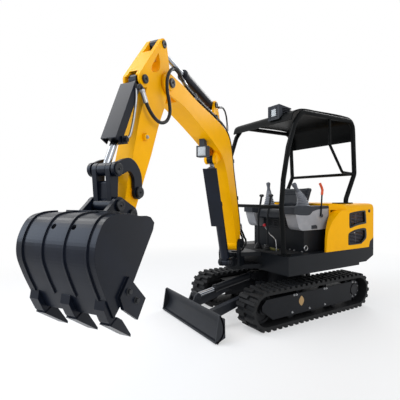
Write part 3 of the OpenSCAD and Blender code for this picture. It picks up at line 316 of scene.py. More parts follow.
# %% Dressing the steel
FINISH_OF = {
    yellow_enamel: ["boom", "arm", "hood_left", "hood_right", "hood_top", "engine_door"],
    black_enamel: ["platform", "counterweight", "swing_post", "seat_base", "travel_levers", "boom_pipes"],
    canopy_enamel: ["canopy_frame", "canopy_roof"],
    chassis_enamel: ["track_frame", "track_beams", "track_covers", "blade", "blade_barrel", "safety_lever"],
    attachment_enamel: ["bucket", "bucket_teeth", "rocker_links", "bucket_link", "boom_barrel", "arm_barrel",
                        "bucket_barrel"],
    track_rubber: ["track_left", "track_right"],
    cast_iron: ["sprockets", "idlers", "track_rollers", "slew_ring", "engine"],
    hard_chrome: ["boom_rod", "arm_rod", "bucket_rod", "blade_rod"],
    dark_abs: ["roof_lamp", "boom_lamp"],
    seat_vinyl: ["seat_cushion", "seat_back"],
    grey_abs: ["console_left", "console_right"],
    bellows_rubber: ["joysticks"],
    screen_wire: ["vent_screens"],
}
for finish, names in FINISH_OF.items():
    for name in names:
        nodes[name].data.materials.clear()
        nodes[name].data.materials.append(finish)


def dress_part(node, finish, chosen):
    """Gives a second finish to the faces whose middles are chosen."""
    mesh = nodes[node].data
    mesh.materials.append(finish)
    middles = np.empty(len(mesh.polygons) * 3)
    mesh.polygons.foreach_get("center", middles)
    mesh.polygons.foreach_set("material_index", chosen(middles.reshape(-1, 3)).astype(np.int32))


RODS = {
    "boom_rod": (BOOM_BARREL_PIN, BOOM_ROD_PIN),
    "arm_rod": (ARM_BARREL_PIN, ARM_ROD_PIN),
    "bucket_rod": (BUCKET_BARREL_PIN, BUCKET_ROD_PIN),
}
ROD_CLEAR = 30.0
EYE_CLEAR = 52.0
BLADE_EYE_LENGTH = 0.075


def off_the_rod(base, eye):
    """Chooses faces further from the rod's line than the rod is thick, or near its eye."""
    base, eye = np.array(base, float), np.array(eye, float)
    along = unit(eye - base)

    def chosen(middles):
        reach, left, up = boom_plane(middles).T
        offset = (reach - base[0]) * along[1] - (up - base[1]) * along[0]
        return (np.hypot(offset, left) > ROD_CLEAR) | (np.hypot(reach - eye[0], up - eye[1]) < EYE_CLEAR)
    return chosen


for rod, (base, eye) in RODS.items():
    dress_part(rod, attachment_enamel, off_the_rod(base, eye))
blade_eye_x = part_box("blade_rod")[1][0] - BLADE_EYE_LENGTH
dress_part("blade_rod", chassis_enamel, lambda middles: middles[:, 0] > blade_eye_x)
print("dressed", sum(len(names) for names in FINISH_OF.values()))

# %% [markdown]
# ## Shapes from whole arrays
# Most small pieces are one of three things: a tube along a path, a solid turned on a lathe,
# or a plate cut to an outline.
# Each function returns its points as one array and its faces as index rows,
# so a piece can be joined from several shapes.

# %% Shapes from whole arrays
STEEL_CREASE = 38
WELDED_CREASE = 28
RUBBER_CREASE = 60
MAT_CREASE = 70
NO_CREASE = 180
EDGE_ANGLE = 32
HEXAGON = 6
# No path or axis of a piece runs along this direction, so it can give each of them a side.
ODD_WAY = (0.31, 0.22, 0.93)


def smooth_path(points, steps=7):
    """A smooth curve through the points. On the stretch from b to c, with a before it and d after it,

    p(u) = b + u (c-a)/2 + u^2 (2a-5b+4c-d)/2 + u^3 (3b-a-3c+d)/2 for u from 0 to 1."""
    points = np.asarray(points, float)
    padded = np.vstack([2 * points[0] - points[1], points, 2 * points[-1] - points[-2]])
    a, b, c, d = padded[:-3, None], padded[1:-2, None], padded[2:-1, None], padded[3:, None]
    u = np.linspace(0, 1, steps, endpoint=False)[None, :, None]
    bend = (2 * a - 5 * b + 4 * c - d) / 2
    twist = (3 * b - a - 3 * c + d) / 2
    curve = b + u * (c - a) / 2 + u ** 2 * bend + u ** 3 * twist
    return np.vstack([curve.reshape(-1, 3), points[-1:]])


def path_length(path):
    """The length along a path."""
    return float(np.linalg.norm(np.diff(path, axis=0), axis=1).sum())


def band_faces(rings, sides, caps=True):
    """Four-sided faces between rings of points, and a cap at each end unless the band closes on itself."""
    index = np.arange(rings * sides).reshape(rings, sides)
    here, ahead = index[:-1], index[1:]
    quads = np.stack([here, np.roll(here, -1, 1), np.roll(ahead, -1, 1), ahead], axis=-1).reshape(-1, 4)
    ends = [index[0, ::-1].tolist(), index[-1].tolist()]
    return quads.tolist() + (ends if caps else [])


def tube(path, radius, sides=16):
    """Ring k at angle t: path[k] + radius[k] (cos t side + sin t over).

    The side turns as little as it can from ring to ring."""
    path = np.asarray(path, float)
    radius = np.broadcast_to(np.asarray(radius, float), len(path))
    ahead = np.gradient(path, axis=0)
    ahead /= np.linalg.norm(ahead, axis=1, keepdims=True)
    side = np.cross(ahead[0], ODD_WAY)
    turned_sides = []
    for direction in ahead:
        side = unit(side - direction * (side @ direction))
        turned_sides.append(side)
    across = np.array(turned_sides)
    over = np.cross(ahead, across)
    angle = np.linspace(0, 2 * math.pi, sides, endpoint=False)[None, :, None]
    spokes = np.cos(angle) * across[:, None] + np.sin(angle) * over[:, None]
    rings = path[:, None] + radius[:, None, None] * spokes
    return rings.reshape(-1, 3), band_faces(len(path), sides)


def turned(profile, place, axis, sides=28, caps=True):
    """A lathe solid. Rows of the profile are (distance along the axis, radius) in millimetres."""
    along, radius = np.asarray(profile, float).T * MM
    axis = unit(axis)
    side = unit(np.cross(axis, ODD_WAY))
    over = np.cross(axis, side)
    angle = np.linspace(0, 2 * math.pi, sides, endpoint=False)[None, :, None]
    ring = np.cos(angle) * side + np.sin(angle) * over
    points = np.asarray(place, float) + along[:, None, None] * axis + radius[:, None, None] * ring
    return points.reshape(-1, 3), band_faces(len(along), sides, caps)


def plate(outline, low, high, to_place=metres):
    """An outline of (forward, up) points, run from low to high across the machine or the boom."""
    outline = np.asarray(outline, float)
    area = np.sum(outline[:, 0] * np.roll(outline[:, 1], -1) - outline[:, 1] * np.roll(outline[:, 0], -1))
    if area > 0:
        outline = outline[::-1]
    layers = [np.column_stack([outline[:, 0], np.full(len(outline), left), outline[:, 1]])
              for left in (low, high)]
    return to_place(np.vstack(layers)), band_faces(2, len(outline))


def on_side(side, near, far):
    """The low and high of a plate between two distances from the middle, on one side."""
    return sorted((side * near, side * far))


def merge(shapes):
    """Several shapes as one."""
    points, faces, count = [], [], 0
    for shape_points, shape_faces in shapes:
        points.append(shape_points)
        faces += [[index + count for index in face] for face in shape_faces]
        count += len(shape_points)
    return np.vstack(points), faces


def add_piece(name, shape, finish, body, crease=STEEL_CREASE):
    """A mesh object with smooth faces and creases, which rides on a body.

    A piece given no body is left unattached."""
    points, faces = shape
    mesh = bpy.data.meshes.new(name)
    mesh.from_pydata(points.tolist(), [], faces)
    mesh.shade_smooth()
    mesh.set_sharp_from_angle(angle=math.radians(crease))
    mesh.materials.append(finish)
    piece = bpy.data.objects.new(name, mesh)
    bpy.context.scene.collection.objects.link(piece)
    if body:
        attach(piece, body)
    return piece


def round_edges(piece, width_mm, segments=3):
    """Rounds the sharp edges of a moulded or rolled piece."""
    bevel = piece.modifiers.new("rounded edges", "BEVEL")
    bevel.width = width_mm * MM
    bevel.segments = segments
    bevel.limit_method = "ANGLE"
    bevel.angle_limit = math.radians(EDGE_ANGLE)
    bevel.harden_normals = True


print("shapes ready")

# %% [markdown]
# ## Hoses
# Oil crosses each joint in a rubber hose with wire inside, which is stiff enough to stand in a wide loop.
# A hose keeps its length, so the loop at the arm's pin must be long enough for the arm to fold.
# Its ends are swaged into plated steel sleeves.

# %% Hoses
HOSE_R = 10.0
THIN_HOSE_R = 7.0
SLEEVE = [(0, 0.9), (0, 1.32), (4, 1.42), (9, 1.3), (12, 1.42), (17, 1.3), (20, 1.42), (25, 1.3), (28, 1.42),
          (36, 1.34), (36, 1.05)]
NUT = [(-14, 1.3), (-14, 1.62), (-1, 1.62), (-1, 1.3)]
LONG_SLEEVE = 1.6
ARM_LOOP = [(1172, 60, 1931), (1250, 72, 1950), (1330, 92, 1962), (1408, 108, 1954), (1474, 116, 1916),
            (1508, 116, 1856), (1504, 114, 1790), (1474, 110, 1730), (1462, 106, 1672), (1490, 102, 1622),
            (1545, 98, 1600), (1602, 94, 1612), (1648, 88, 1648), (1676, 80, 1694), (1690, 72, 1736)]
BARREL_LOOP = [(568, 66, 1926), (522, 74, 1934), (470, 76, 1914), (424, 72, 1874), (390, 66, 1824),
               (372, 62, 1778)]
FOOT_LOOPS = [(46, 84, 657), (70, 97, 684)]


def swaged_end(place, axis, hose_r, stretch):
    """A ribbed sleeve with a hexagon nut behind it. The stretch lengthens the sleeve."""
    sleeve = turned([(along * stretch, ratio * hose_r) for along, ratio in SLEEVE], place, axis)
    nut = turned([(along, ratio * hose_r) for along, ratio in NUT], place, axis, HEXAGON)
    return merge([nut, sleeve])


def hose(name, points, radius, bodies, stretch=1.0):
    """A rubber hose through points, from one body to the next, with its swaged ends."""
    path = boom_place(smooth_path(points))
    rubber = add_piece(name, tube(path, radius * MM), hose_rubber, None)
    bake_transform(rubber)
    for which, body in ((0, bodies[0]), (-1, bodies[1])):
        inward = path[1] - path[0] if which == 0 else path[-2] - path[-1]
        sleeve = swaged_end(path[which], inward, radius, stretch)
        add_piece(f"{name}_sleeve_{body}", sleeve, zinc_plate, body)
    print(name, round(path_length(path), 3), "m")
    return path


arm_hose = hose("arm_hose", ARM_LOOP, HOSE_R, ("boom", "arm"),
                LONG_SLEEVE)
hose("arm_barrel_hose", BARREL_LOOP, THIN_HOSE_R, ("arm_barrel", "boom"))
for number, (left, cheek, low) in enumerate(FOOT_LOOPS):
    foot_loop = [(27, left, 898), (2, left, 856), (-36, left + 4, 816), (-72, left + 10, 770),
                 (-88, left + 18, low + 61), (-70, left + 24, low + 20), (-24, cheek - 6, low),
                 (34, cheek, low), (78, cheek, low), (100, cheek, low)]
    hose(f"boom_foot_hose_{number}", foot_loop, HOSE_R, ("boom", "swing_post"))

# %% [markdown]
# ## Pins and bolts
# Every joint turns on a hardened pin with a round head, held by a small bolt, and greased through a nipple.
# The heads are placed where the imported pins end, so they stay right if a boss grows.
# Plates that come off for service are held by hexagon screws on washers.

# %% Pins and bolts
PIN_HEAD = [(-3, 24), (-3, 29), (5, 29), (7.5, 26.5), (7.5, 16), (5.5, 14), (5.5, 5), (9, 4.4), (12, 4.4),
            (13, 2.5), (13, 0.5)]
PIN_R = 20.5
PLATES_R = 40.0
CYLINDER_PIN = 0.85
HORN_PIN = 0.8


def points_of(name):
    """A node's points in the boom's plane, in millimetres."""
    return boom_plane(mesh_values(nodes[name].data, "co"))


BOOM_NODES = ["swing_post", "boom", "arm", "boom_rod", "arm_rod", "bucket_rod", "rocker_links", "bucket_link",
              "bucket", "boom_barrel", "arm_barrel", "bucket_barrel"]
boom_points = np.vstack([points_of(name) for name in BOOM_NODES])


def pin_ends(reach, up, around):
    """How far the pin, or the plates around it, run to the right and to the left."""
    near = boom_points[np.hypot(boom_points[:, 0] - reach, boom_points[:, 2] - up) < around]
    return near[:, 1].min(), near[:, 1].max()


def pin_heads(name, body, places, scale=1.0, around=PIN_R):
    """A head on each end of each pin of a body, as one piece."""
    shapes = []
    for reach, up in places:
        low, high = pin_ends(reach, up, around)
        for left, axis in ((low, -BOOM_LEFT), (high, BOOM_LEFT)):
            profile = [(along, radius * scale) for along, radius in PIN_HEAD]
            shapes.append(turned(profile, boom_place([(reach, left, up)])[0], axis, 32))
    return add_piece(name, merge(shapes), pin_steel, body)


pin_heads("arm_pin_heads", "arm", [(1742, 1200), (1413, 1867)])
pin_heads("arm_cylinder_pin_heads", "arm", [BUCKET_BARREL_PIN], CYLINDER_PIN)
pin_heads("horn_pin_heads", "arm", [ARM_ROD_PIN], HORN_PIN, PLATES_R)
pin_heads("bucket_pin_heads", "bucket", [(1800, 1085), (1900, 1135)])
pin_heads("link_pin_heads", "rocker", [BUCKET_ROD_PIN], 1.0, PLATES_R)
pin_heads("boom_pin_heads", "boom", [ARM_BARREL_PIN, BOOM_ROD_PIN], CYLINDER_PIN)
pin_heads("post_pin_heads", "swing_post", [(100, 725), BOOM_BARREL_PIN])


def bolt(place, axis, across):
    """A hexagon head with a chamfered top on a round washer. The width is across the flats."""
    corner = across / math.sqrt(3)
    washer = turned([(-1, corner * 0.9), (-1, corner * 1.25), (2.2, corner * 1.25), (2.6, corner * 1.15)],
                    place, axis, 24)
    head = turned([(2.4, corner * 0.9), (2.4, corner), (across * 0.52, corner), (across * 0.62, corner * 0.84),
                   (across * 0.62, 0.5)], place, axis, HEXAGON)
    return merge([washer, head])


SMALL_BOLT = 15.0
FLOOR_BOLT = 16.0
CUTTER_BOLT = 22.0
COVER_FACE = 485.8
COVER_BOLTS = [(353, 112), (121, 112), (-102, 112), (296, 268), (328, 268), (-95, 268), (-127, 268)]
HUB_X = -616.5
HUB_Z = 182.0
HUB_FACE = 446.5
HUB_RING = 78.0
HUB_BOLTS = 9
CUTTER_FACE = 235.0
CUTTER_BOLTS = [(2030, 774), (1978, 722)]
LOZENGE_HALF = [(-34, 0), (-31, 14), (-20, 30), (-8, 43), (0, 47), (8, 43), (20, 30), (31, 14)]
LOZENGE = LOZENGE_HALF + [(-x, -z) for x, z in LOZENGE_HALF]
LOZENGE_X = 230
LOZENGE_Z = 200
LOZENGE_T = 1.6

hub_turn = np.linspace(0, 2 * math.pi, HUB_BOLTS, endpoint=False)
hub_ring = np.column_stack([HUB_X + HUB_RING * np.cos(hub_turn), HUB_Z + HUB_RING * np.sin(hub_turn)])
chassis_bolts = []
for side in (-1, 1):
    for face, places in ((COVER_FACE, COVER_BOLTS), (HUB_FACE, hub_ring)):
        chassis_bolts += [bolt(metres([x, side * face, z]), side * LEFT, SMALL_BOLT) for x, z in places]
add_piece("chassis_bolts", merge(chassis_bolts), zinc_plate, "undercarriage")
cutter_bolts = [bolt(boom_place([(reach, side * CUTTER_FACE, up)])[0], side * BOOM_LEFT, CUTTER_BOLT)
                for side in (-1, 1) for reach, up in CUTTER_BOLTS]
add_piece("cutter_bolts", merge(cutter_bolts), pin_steel, "bucket")
lozenge = [(LOZENGE_X + x, LOZENGE_Z + z) for x, z in LOZENGE]
lozenges = [plate(lozenge, *on_side(side, COVER_FACE, COVER_FACE + LOZENGE_T)) for side in (-1, 1)]
add_piece("blank_plates", merge(lozenges), tan_plate, "undercarriage")
print("bolts", len(chassis_bolts) + len(cutter_bolts))

# %% [markdown]
# ## The blade
# The blade is welded from a rolled sheet, two end plates, a cutting edge and two arms on pins.
# The arms, the cylinder's lugs and the lashing eyes stop at the back of the sheet,
# so its face stays smooth for pushing soil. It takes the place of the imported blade.

# %% The blade
BLADE_HALF = 492.0
SHEET = 14.0
SHEET_FACE = smooth_path([(1199, 0, 12), (1147, 0, 72), (1141, 0, 142), (1171, 0, 227)], 8)[:, [0, 2]]
SHEET_BACK = 1134.0
END_PLATE = 12.0
BLADE_PIVOT = (560.0, 235.0)
BLADE_ARM_Y = 178.0
BLADE_ARM_HALF = 28.0
BLADE_ROD_PIN = (1102.0, 262.0)
LASHING_EYE = (1093.0, 132.0)
LASHING_Y = 330.0
STRAP_HALF = 9.5
LUG_IN = 28.0
LUG_T = 16.0
EDGE_BAR = [(1177, 12), (1211, 12), (1211, 28), (1177, 28)]
CROSS_BAR = [(1099, 82), (SHEET_BACK, 82), (SHEET_BACK, 152), (1099, 152)]
END_OUTLINE = [(1115, 42), (1191, 12), (1209, 18), (1177, 227), (1119, 197)]
ARM_OUTLINE = [(588, 206), (1107, 64), (SHEET_BACK, 58), (SHEET_BACK, 156), (1100, 156), (598, 262), (590, 236)]
LUG_OUTLINE = [(1105, 112), (SHEET_BACK, 112), (SHEET_BACK, 150), (1140, 185), (1158, 221), (1128, 282),
               (1102, 294), (1076, 278), (1070, 256), (1078, 232)]
LUG_BOSS = [(0, 31), (20, 31), (22, 29), (22, 8), (19, 6), (19, 0.5)]
STRAP_OUTLINE = [(1110, 103), (SHEET_BACK, 98), (SHEET_BACK, 166), (1110, 161)]


def ring(centre, left, half, outer_r, bore_r):
    """A boss across the machine with a bore, or a thick ring."""
    place = metres((centre[0], left, centre[1]))
    profile = [(-half, bore_r), (half, bore_r), (half, outer_r - 2), (half - 2, outer_r), (2 - half, outer_r),
               (-half, outer_r - 2), (-half, bore_r)]
    return turned(profile[::-1], place, LEFT, 40, False)


sheet_way = np.gradient(SHEET_FACE, axis=0)
sheet_way /= np.linalg.norm(sheet_way, axis=1, keepdims=True)
sheet_rear = SHEET_FACE + SHEET * np.column_stack([-sheet_way[:, 1], sheet_way[:, 0]])
blade_shapes = [plate(np.vstack([SHEET_FACE, sheet_rear[::-1]]), -BLADE_HALF, BLADE_HALF),
                plate(EDGE_BAR, -BLADE_HALF, BLADE_HALF),
                plate(CROSS_BAR, -BLADE_ARM_Y, BLADE_ARM_Y)]
for side in (-1, 1):
    arm_y = side * BLADE_ARM_Y
    eye_y = side * LASHING_Y
    boss_place = metres((BLADE_ROD_PIN[0], side * LUG_IN, BLADE_ROD_PIN[1]))
    blade_shapes += [plate(END_OUTLINE, *on_side(side, BLADE_HALF - END_PLATE, BLADE_HALF)),
                     plate(ARM_OUTLINE, arm_y - BLADE_ARM_HALF, arm_y + BLADE_ARM_HALF),
                     ring(BLADE_PIVOT, arm_y, BLADE_ARM_HALF, 40, 19.1),
                     plate(LUG_OUTLINE, *on_side(side, LUG_IN, LUG_IN + LUG_T)),
                     turned(LUG_BOSS, boss_place, side * LEFT, 36),
                     ring(LASHING_EYE, eye_y, 10, 32, 16),
                     plate(STRAP_OUTLINE, eye_y - STRAP_HALF, eye_y + STRAP_HALF)]
# The sheet takes the lighter black, which is painted light on its face.
blade = add_piece("blade_weldment", merge(blade_shapes), blade_lit_black, "blade", WELDED_CREASE)
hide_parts("blade")
print("blade points", len(blade.data.vertices))

# %% [markdown]
# ## The bucket cylinder's side pipe
# Oil for the rod end runs down the barrel's side in a bent steel pipe,
# from an elbow at the hose to a block at the gland.
# A ribbed guard covers the arm's hose where it would rub.

# %% The bucket cylinder's side pipe
PIPE_R = 7.0
ELBOW_R = 9.0
SIDE_PIPE = [(1722, 52, 1750), (1722, 52, 1690), (1743, 53, 1590), (1772, 52, 1500), (1790, 47, 1480),
             (1806, 42, 1474)]
ELBOW = [(1691, 71, 1742), (1695, 70, 1758), (1707, 69, 1767), (1719, 68, 1760), (1722, 68, 1744)]
BLOCK_OUTLINE = [(1799, 1446), (1838, 1438), (1846, 1478), (1807, 1488)]
PORT = [(0, 11), (8, 11), (8, 14), (17, 14), (17, 8)]
GUARD_START = 10
GUARD_END = 24
GUARD_STEPS = 8
GUARD_RIBS = 13
GUARD_WALL = 2.2
GUARD_RIB_HEIGHT = 1.2

side_pipe = smooth_path(SIDE_PIPE)
block_shape = plate(BLOCK_OUTLINE, 34, 58, boom_place)
port_shape = turned(PORT, boom_place([(1822, 56, 1464)])[0], BOOM_LEFT, HEXAGON)
block = merge([block_shape, port_shape])
round_edges(add_piece("bucket_port_block", block, attachment_enamel, "bucket_barrel"), 3)
pipe = tube(boom_place(side_pipe), PIPE_R * MM)
add_piece("bucket_side_pipe", pipe, zinc_plate, "bucket_barrel")
add_piece("arm_hose_elbow", tube(boom_place(smooth_path(ELBOW)), ELBOW_R * MM), pin_steel, "arm")
guarded = arm_hose[GUARD_START:GUARD_END]
guard_path = smooth_path(guarded, GUARD_STEPS)
guard_turn = np.linspace(0, 2 * GUARD_RIBS * math.pi, GUARD_STEPS * len(guarded))[:len(guard_path)]
guard_r = (HOSE_R + GUARD_WALL + GUARD_RIB_HEIGHT * np.cos(guard_turn)) * MM
add_piece("arm_hose_guard", tube(guard_path, guard_r), hose_rubber, "boom")
print("side pipe", round(path_length(side_pipe)), "mm")

# %% [markdown]
# ## Vent trims and the arm's clip
# Cooling air enters the hood through two windows a side.
# A moulded lip covers each cut edge, and its corners are round.
# Both rims of a lip are read at even angles around its middle, so that they have the same number of points.
# A small welded lug on the arm takes a clip for a hose.

# %% Vent trims and the arm's clip
HOOD_FACE = 530.0
LIP_RISE = 2.0
LIP_DEPTH = 22.0
LIP_POINTS = 96
UPPER_RIM = [(-428, 954), (-430, 1003), (-450, 1015), (-580, 1030), (-690, 1035), (-708, 1024), (-721, 908),
             (-706, 893), (-623, 886), (-532, 873), (-455, 856), (-431, 868)]
UPPER_GAP = [(-446, 950), (-447, 990), (-458, 1002), (-572, 1013), (-672, 1019), (-686, 1010), (-696, 925),
             (-686, 911), (-625, 908), (-545, 898), (-466, 876), (-449, 884)]
LOWER_RIM = [(-412, 732), (-413, 777), (-420, 800), (-440, 812), (-499, 830), (-581, 842), (-666, 848),
             (-708, 842), (-722, 823), (-724, 748), (-701, 720), (-641, 686), (-624, 681), (-436, 680),
             (-414, 692)]
LOWER_GAP = [(-430, 735), (-431, 775), (-441, 793), (-505, 806), (-585, 816), (-672, 825), (-692, 820),
             (-696, 806), (-696, 752), (-684, 737), (-640, 702), (-622, 694), (-442, 697), (-431, 704)]
VENTS = ((UPPER_RIM, UPPER_GAP), (LOWER_RIM, LOWER_GAP))
ARM_FACE = 54.0
CLIP_T = 20.0
CLIP_LUG = [(1632, 1490), (1668, 1484), (1674, 1510), (1654, 1526), (1634, 1518)]


def around(outline, middle):
    """An outline's points at even angles around its middle: middle + radius(angle) (cos, sin)."""
    closed = np.array(outline + outline[:1], float)
    curve = smooth_path(np.column_stack([closed, np.zeros(len(closed))]), 12)[:-1, :2] - middle
    turn = np.linspace(0, 2 * math.pi, LIP_POINTS, endpoint=False)
    curve_turn = np.arctan2(curve[:, 1], curve[:, 0])
    radius = np.interp(turn, curve_turn, np.hypot(curve[:, 0], curve[:, 1]), period=2 * math.pi)
    return middle + radius[:, None] * np.column_stack([np.cos(turn), np.sin(turn)])


def vent_lip(rim, gap, side):
    """A lip around a vent: it stands on the panel outside and turns into the cut inside."""
    middle = np.mean(gap, axis=0)
    outer, inner = around(rim, middle), around(gap, middle)
    profile = [(outer, -0.5), (outer, LIP_RISE - 0.6), (outer + (inner - outer) * 0.05, LIP_RISE),
               (inner, LIP_RISE), (inner, -LIP_DEPTH), (outer, -0.5)]
    rings = [np.column_stack([edge[:, 0], np.full(LIP_POINTS, side * (HOOD_FACE + rise)), edge[:, 1]])
             for edge, rise in profile]
    points = metres(np.vstack(rings))
    faces = band_faces(len(rings), LIP_POINTS, False)
    return points, faces if side < 0 else [face[::-1] for face in faces]


lips = [vent_lip(rim, gap, side) for side in (-1, 1) for rim, gap in VENTS]
add_piece("vent_lips", merge(lips), hose_rubber, "upper")
clip_shape = plate(CLIP_LUG, ARM_FACE, ARM_FACE + CLIP_T, boom_place)
round_edges(add_piece("arm_clip_lug", clip_shape, yellow_enamel, "arm"), 3)
clip_bolt = bolt(boom_place([(1652, ARM_FACE + CLIP_T, 1503)])[0], BOOM_LEFT, SMALL_BOLT)
add_piece("arm_clip_bolt", clip_bolt, zinc_plate, "arm")
print("vent lips", len(lips))

# %% [markdown]
# ## Lamps
# A work lamp has a pressed lens with fine upright flutes that spread the beam sideways.

# %% Lamps
LENS_COLUMNS = 97
LENS_ROWS = 25
LENS_BULGE = 3.0
FLUTE_DEPTH = 0.7
BEZEL_BARS = ((159, 176), (186, 260), (270, 286))
BEZEL_LOW = 1952
BEZEL_HIGH = 2068
SLAT_PITCH = 18
SLAT = 7


def lens(corner, across, outward, size, flute):
    """A fluted lens: out = bulge (1-u^2)(1-v^2) + 0.7 |sin(pi width/flute)|, for u and v from -1 to 1."""
    width, height = size
    u, v = np.meshgrid(np.linspace(-1, 1, LENS_COLUMNS), np.linspace(-1, 1, LENS_ROWS), indexing="ij")
    flutes = np.abs(np.sin(math.pi * (u + 1) / 2 * width / flute))
    rise = LENS_BULGE * (1 - u ** 2) * (1 - v ** 2) + FLUTE_DEPTH * flutes
    points = np.asarray(corner, float) + ((u + 1) / 2 * width)[..., None] * across
    points = points + ((v + 1) / 2 * height)[..., None] * UP
    points = points + rise[..., None] * outward
    index = np.arange(u.size).reshape(u.shape)
    faces = np.stack([index[:-1, :-1], index[1:, :-1], index[1:, 1:], index[:-1, 1:]], axis=-1).reshape(-1, 4)
    return points.reshape(-1, 3) * MM, faces.tolist()


bezel = [plate([(331, BEZEL_LOW), (338, BEZEL_LOW), (338, BEZEL_HIGH), (331, BEZEL_HIGH)], low, high)
         for low, high in BEZEL_BARS]
bezel += [plate([(331, up), (339.5, up), (339.5, up + SLAT), (331, up + SLAT)], 159, 286)
          for up in range(BEZEL_LOW, BEZEL_HIGH + 1, SLAT_PITCH)]
round_edges(add_piece("roof_lamp_bezel", merge(bezel), dark_abs, "upper"), 1)
roof_lens = lens((338, 190, 1972), LEFT, AHEAD, (66, 76), 9.0)
add_piece("roof_lamp_lens", roof_lens, lamp_glass, "upper")
boom_corner = boom_place([(785, -36, 1502)])[0] / MM
boom_lens = lens(boom_corner, BOOM_LEFT, BOOM_AHEAD, (72, 72), 8.0)
add_piece("boom_lamp_lens", boom_lens, lamp_glass, "boom")
print("lens points", len(roof_lens[0]) + len(boom_lens[0]))

# %% [markdown]
# ## The operator's place
# The joysticks stand in ribbed rubber bellows, which keep dirt out of the valves below.
# A bellows is turned from a wavy profile and then leaned over with its lever.
# The pods get a dark cover with a swept lower edge, and the left one a latch.

# %% The operator's place
BELLOWS_RIBS = 8
BELLOWS_RIB_HEIGHT = 6.0
GRIP = [(-14, 9), (-6, 20), (0, 22), (14, 19), (34, 17), (54, 20), (72, 24), (84, 24), (92, 20), (94, 9)]
BUTTON = [(93, 7), (97, 7), (98.5, 5), (98.5, 0.5)]
STICKS = {"left": ((70, 356, 1089), math.radians(38)), "right": ((-55, -256, 1089), math.radians(5))}
POD_EDGE = smooth_path([(266, 0, 1012), (170, 0, 1000), (61, 0, 998), (24, 0, 1016), (0, 0, 1034),
                        (-90, 0, 1054), (-238, 0, 1060)], 5)
POD_TOP = [(-238, 1088), (256, 1088), (266, 1078)]
LATCH = [(-57, 862), (22, 862), (22, 896), (-40, 900), (-57, 884)]
PIVOT = [(0, 12), (0, 18), (5, 18), (7, 15), (7, 0.5)]


def bellows(place, lean, low_r, high_r, height):
    """Radius at share s of the height: low + (high - low) s^0.7, and ribs of 6 mm that fade towards the top."""
    share = np.linspace(0, 1, 12 * BELLOWS_RIBS + 1)
    ribs = BELLOWS_RIB_HEIGHT * (1 - share ** 1.5) * np.cos(2 * math.pi * BELLOWS_RIBS * share)
    radius = low_r + (high_r - low_r) * share ** 0.7 + ribs
    bend = lean * np.minimum(1, share * 1.6)
    step = height / (len(share) - 1)
    forward = np.cumsum(np.sin(bend)) * step
    path = np.column_stack([forward, np.zeros_like(share), np.cumsum(np.cos(bend)) * step])
    return tube(metres(path + place), radius * MM, 40), path[-1] + place


def hand_grip(place, lean):
    """A moulded grip: a waist for the fingers, a swelling for the palm and a flat top with a button."""
    axis = (math.sin(lean), 0, math.cos(lean))
    body = turned(GRIP, metres(place), axis, 32)
    button = turned(BUTTON, metres(place), axis, 20)
    return merge([body, button])


for which, (place, lean) in STICKS.items():
    boot, tip = bellows(np.array(place, float), lean, 68.0, 24.0, 165.0)
    boot_piece = add_piece(f"bellows_{which}", boot, bellows_rubber, "upper", RUBBER_CREASE)
    if which == "left":
        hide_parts("joysticks")
    add_piece(f"hand_grip_{which}", hand_grip(tip, lean), grip_grey, "upper")

pod_outline = [(x, z) for x, _, z in POD_EDGE] + POD_TOP
for which, low, high in (("left", 284, 428), ("right", -328, -184)):
    cover = add_piece(f"pod_cover_{which}", plate(pod_outline, low, high), dark_abs, "upper")
    round_edges(cover, 5)
latch = plate(LATCH, 424, 432)
pivot = turned(PIVOT, metres((-108, 442, 990)), LEFT)
round_edges(add_piece("pod_latch", merge([latch, pivot]), dark_abs, "upper"), 2)
print("sticks and pods", len(STICKS))

# %% [markdown]
# ## Levers and floor
# The lock lever has a dipped handle with fine ribs, and the travel levers stand in short boots.
# A ribbed mat covers the floor, with a pedal on it.

# %% Levers and floor
LEVER = [(-122, 433, 1200), (-127, 433, 1228), (-128, 433, 1252), (-115, 433, 1280), (-96, 433, 1309),
         (-92, 433, 1315)]
LEVER_R = 12.5
LEVER_RIB = 0.8
LEVER_TIP_R = 7
TRAVEL_LEVERS = (-20, 120)
TRAVEL_GRIP = [(-26, 6), (-24, 12), (-16, 14.5), (16, 14.5), (24, 12), (26, 6)]
TRAVEL_BOOT = [(0, 44), (4, 46), (10, 36), (16, 40), (24, 30), (31, 33), (40, 22), (47, 25), (56, 14)]
THROTTLE = [(300, 226, 638), (300, 222, 700), (300, 212, 748), (300, 176, 778), (303, 137, 796),
            (316, 106, 842), (328, 88, 880)]
THROTTLE_R = 5
KNOB = [(-4, 6), (0, 11), (7, 16), (15, 17.5), (23, 16), (29, 10), (31, 0.5)]
MAT_REAR = 135
MAT_FRONT = 428
MAT_LOW = 636.2
MAT_TOP = 639.0
MAT_RIB = 1.1
MAT_PITCH = 12
FLOOR_BOLTS = [(128, -262), (128, -130), (128, -84), (128, 242), (128, 300), (128, 400)]
HOOD_LOCK = [(-2, 13), (-2, 17), (4, 17), (5.5, 15), (5.5, 6), (2, 5), (2, 0.5)]
LOCK_RING = [(0, 17), (5, 18), (7, 21), (7, 25), (5, 28), (0, 29), (0, 17)]
PEDAL = [(246, 641), (316, 641), (322, 664), (314, 668), (246, 651)]

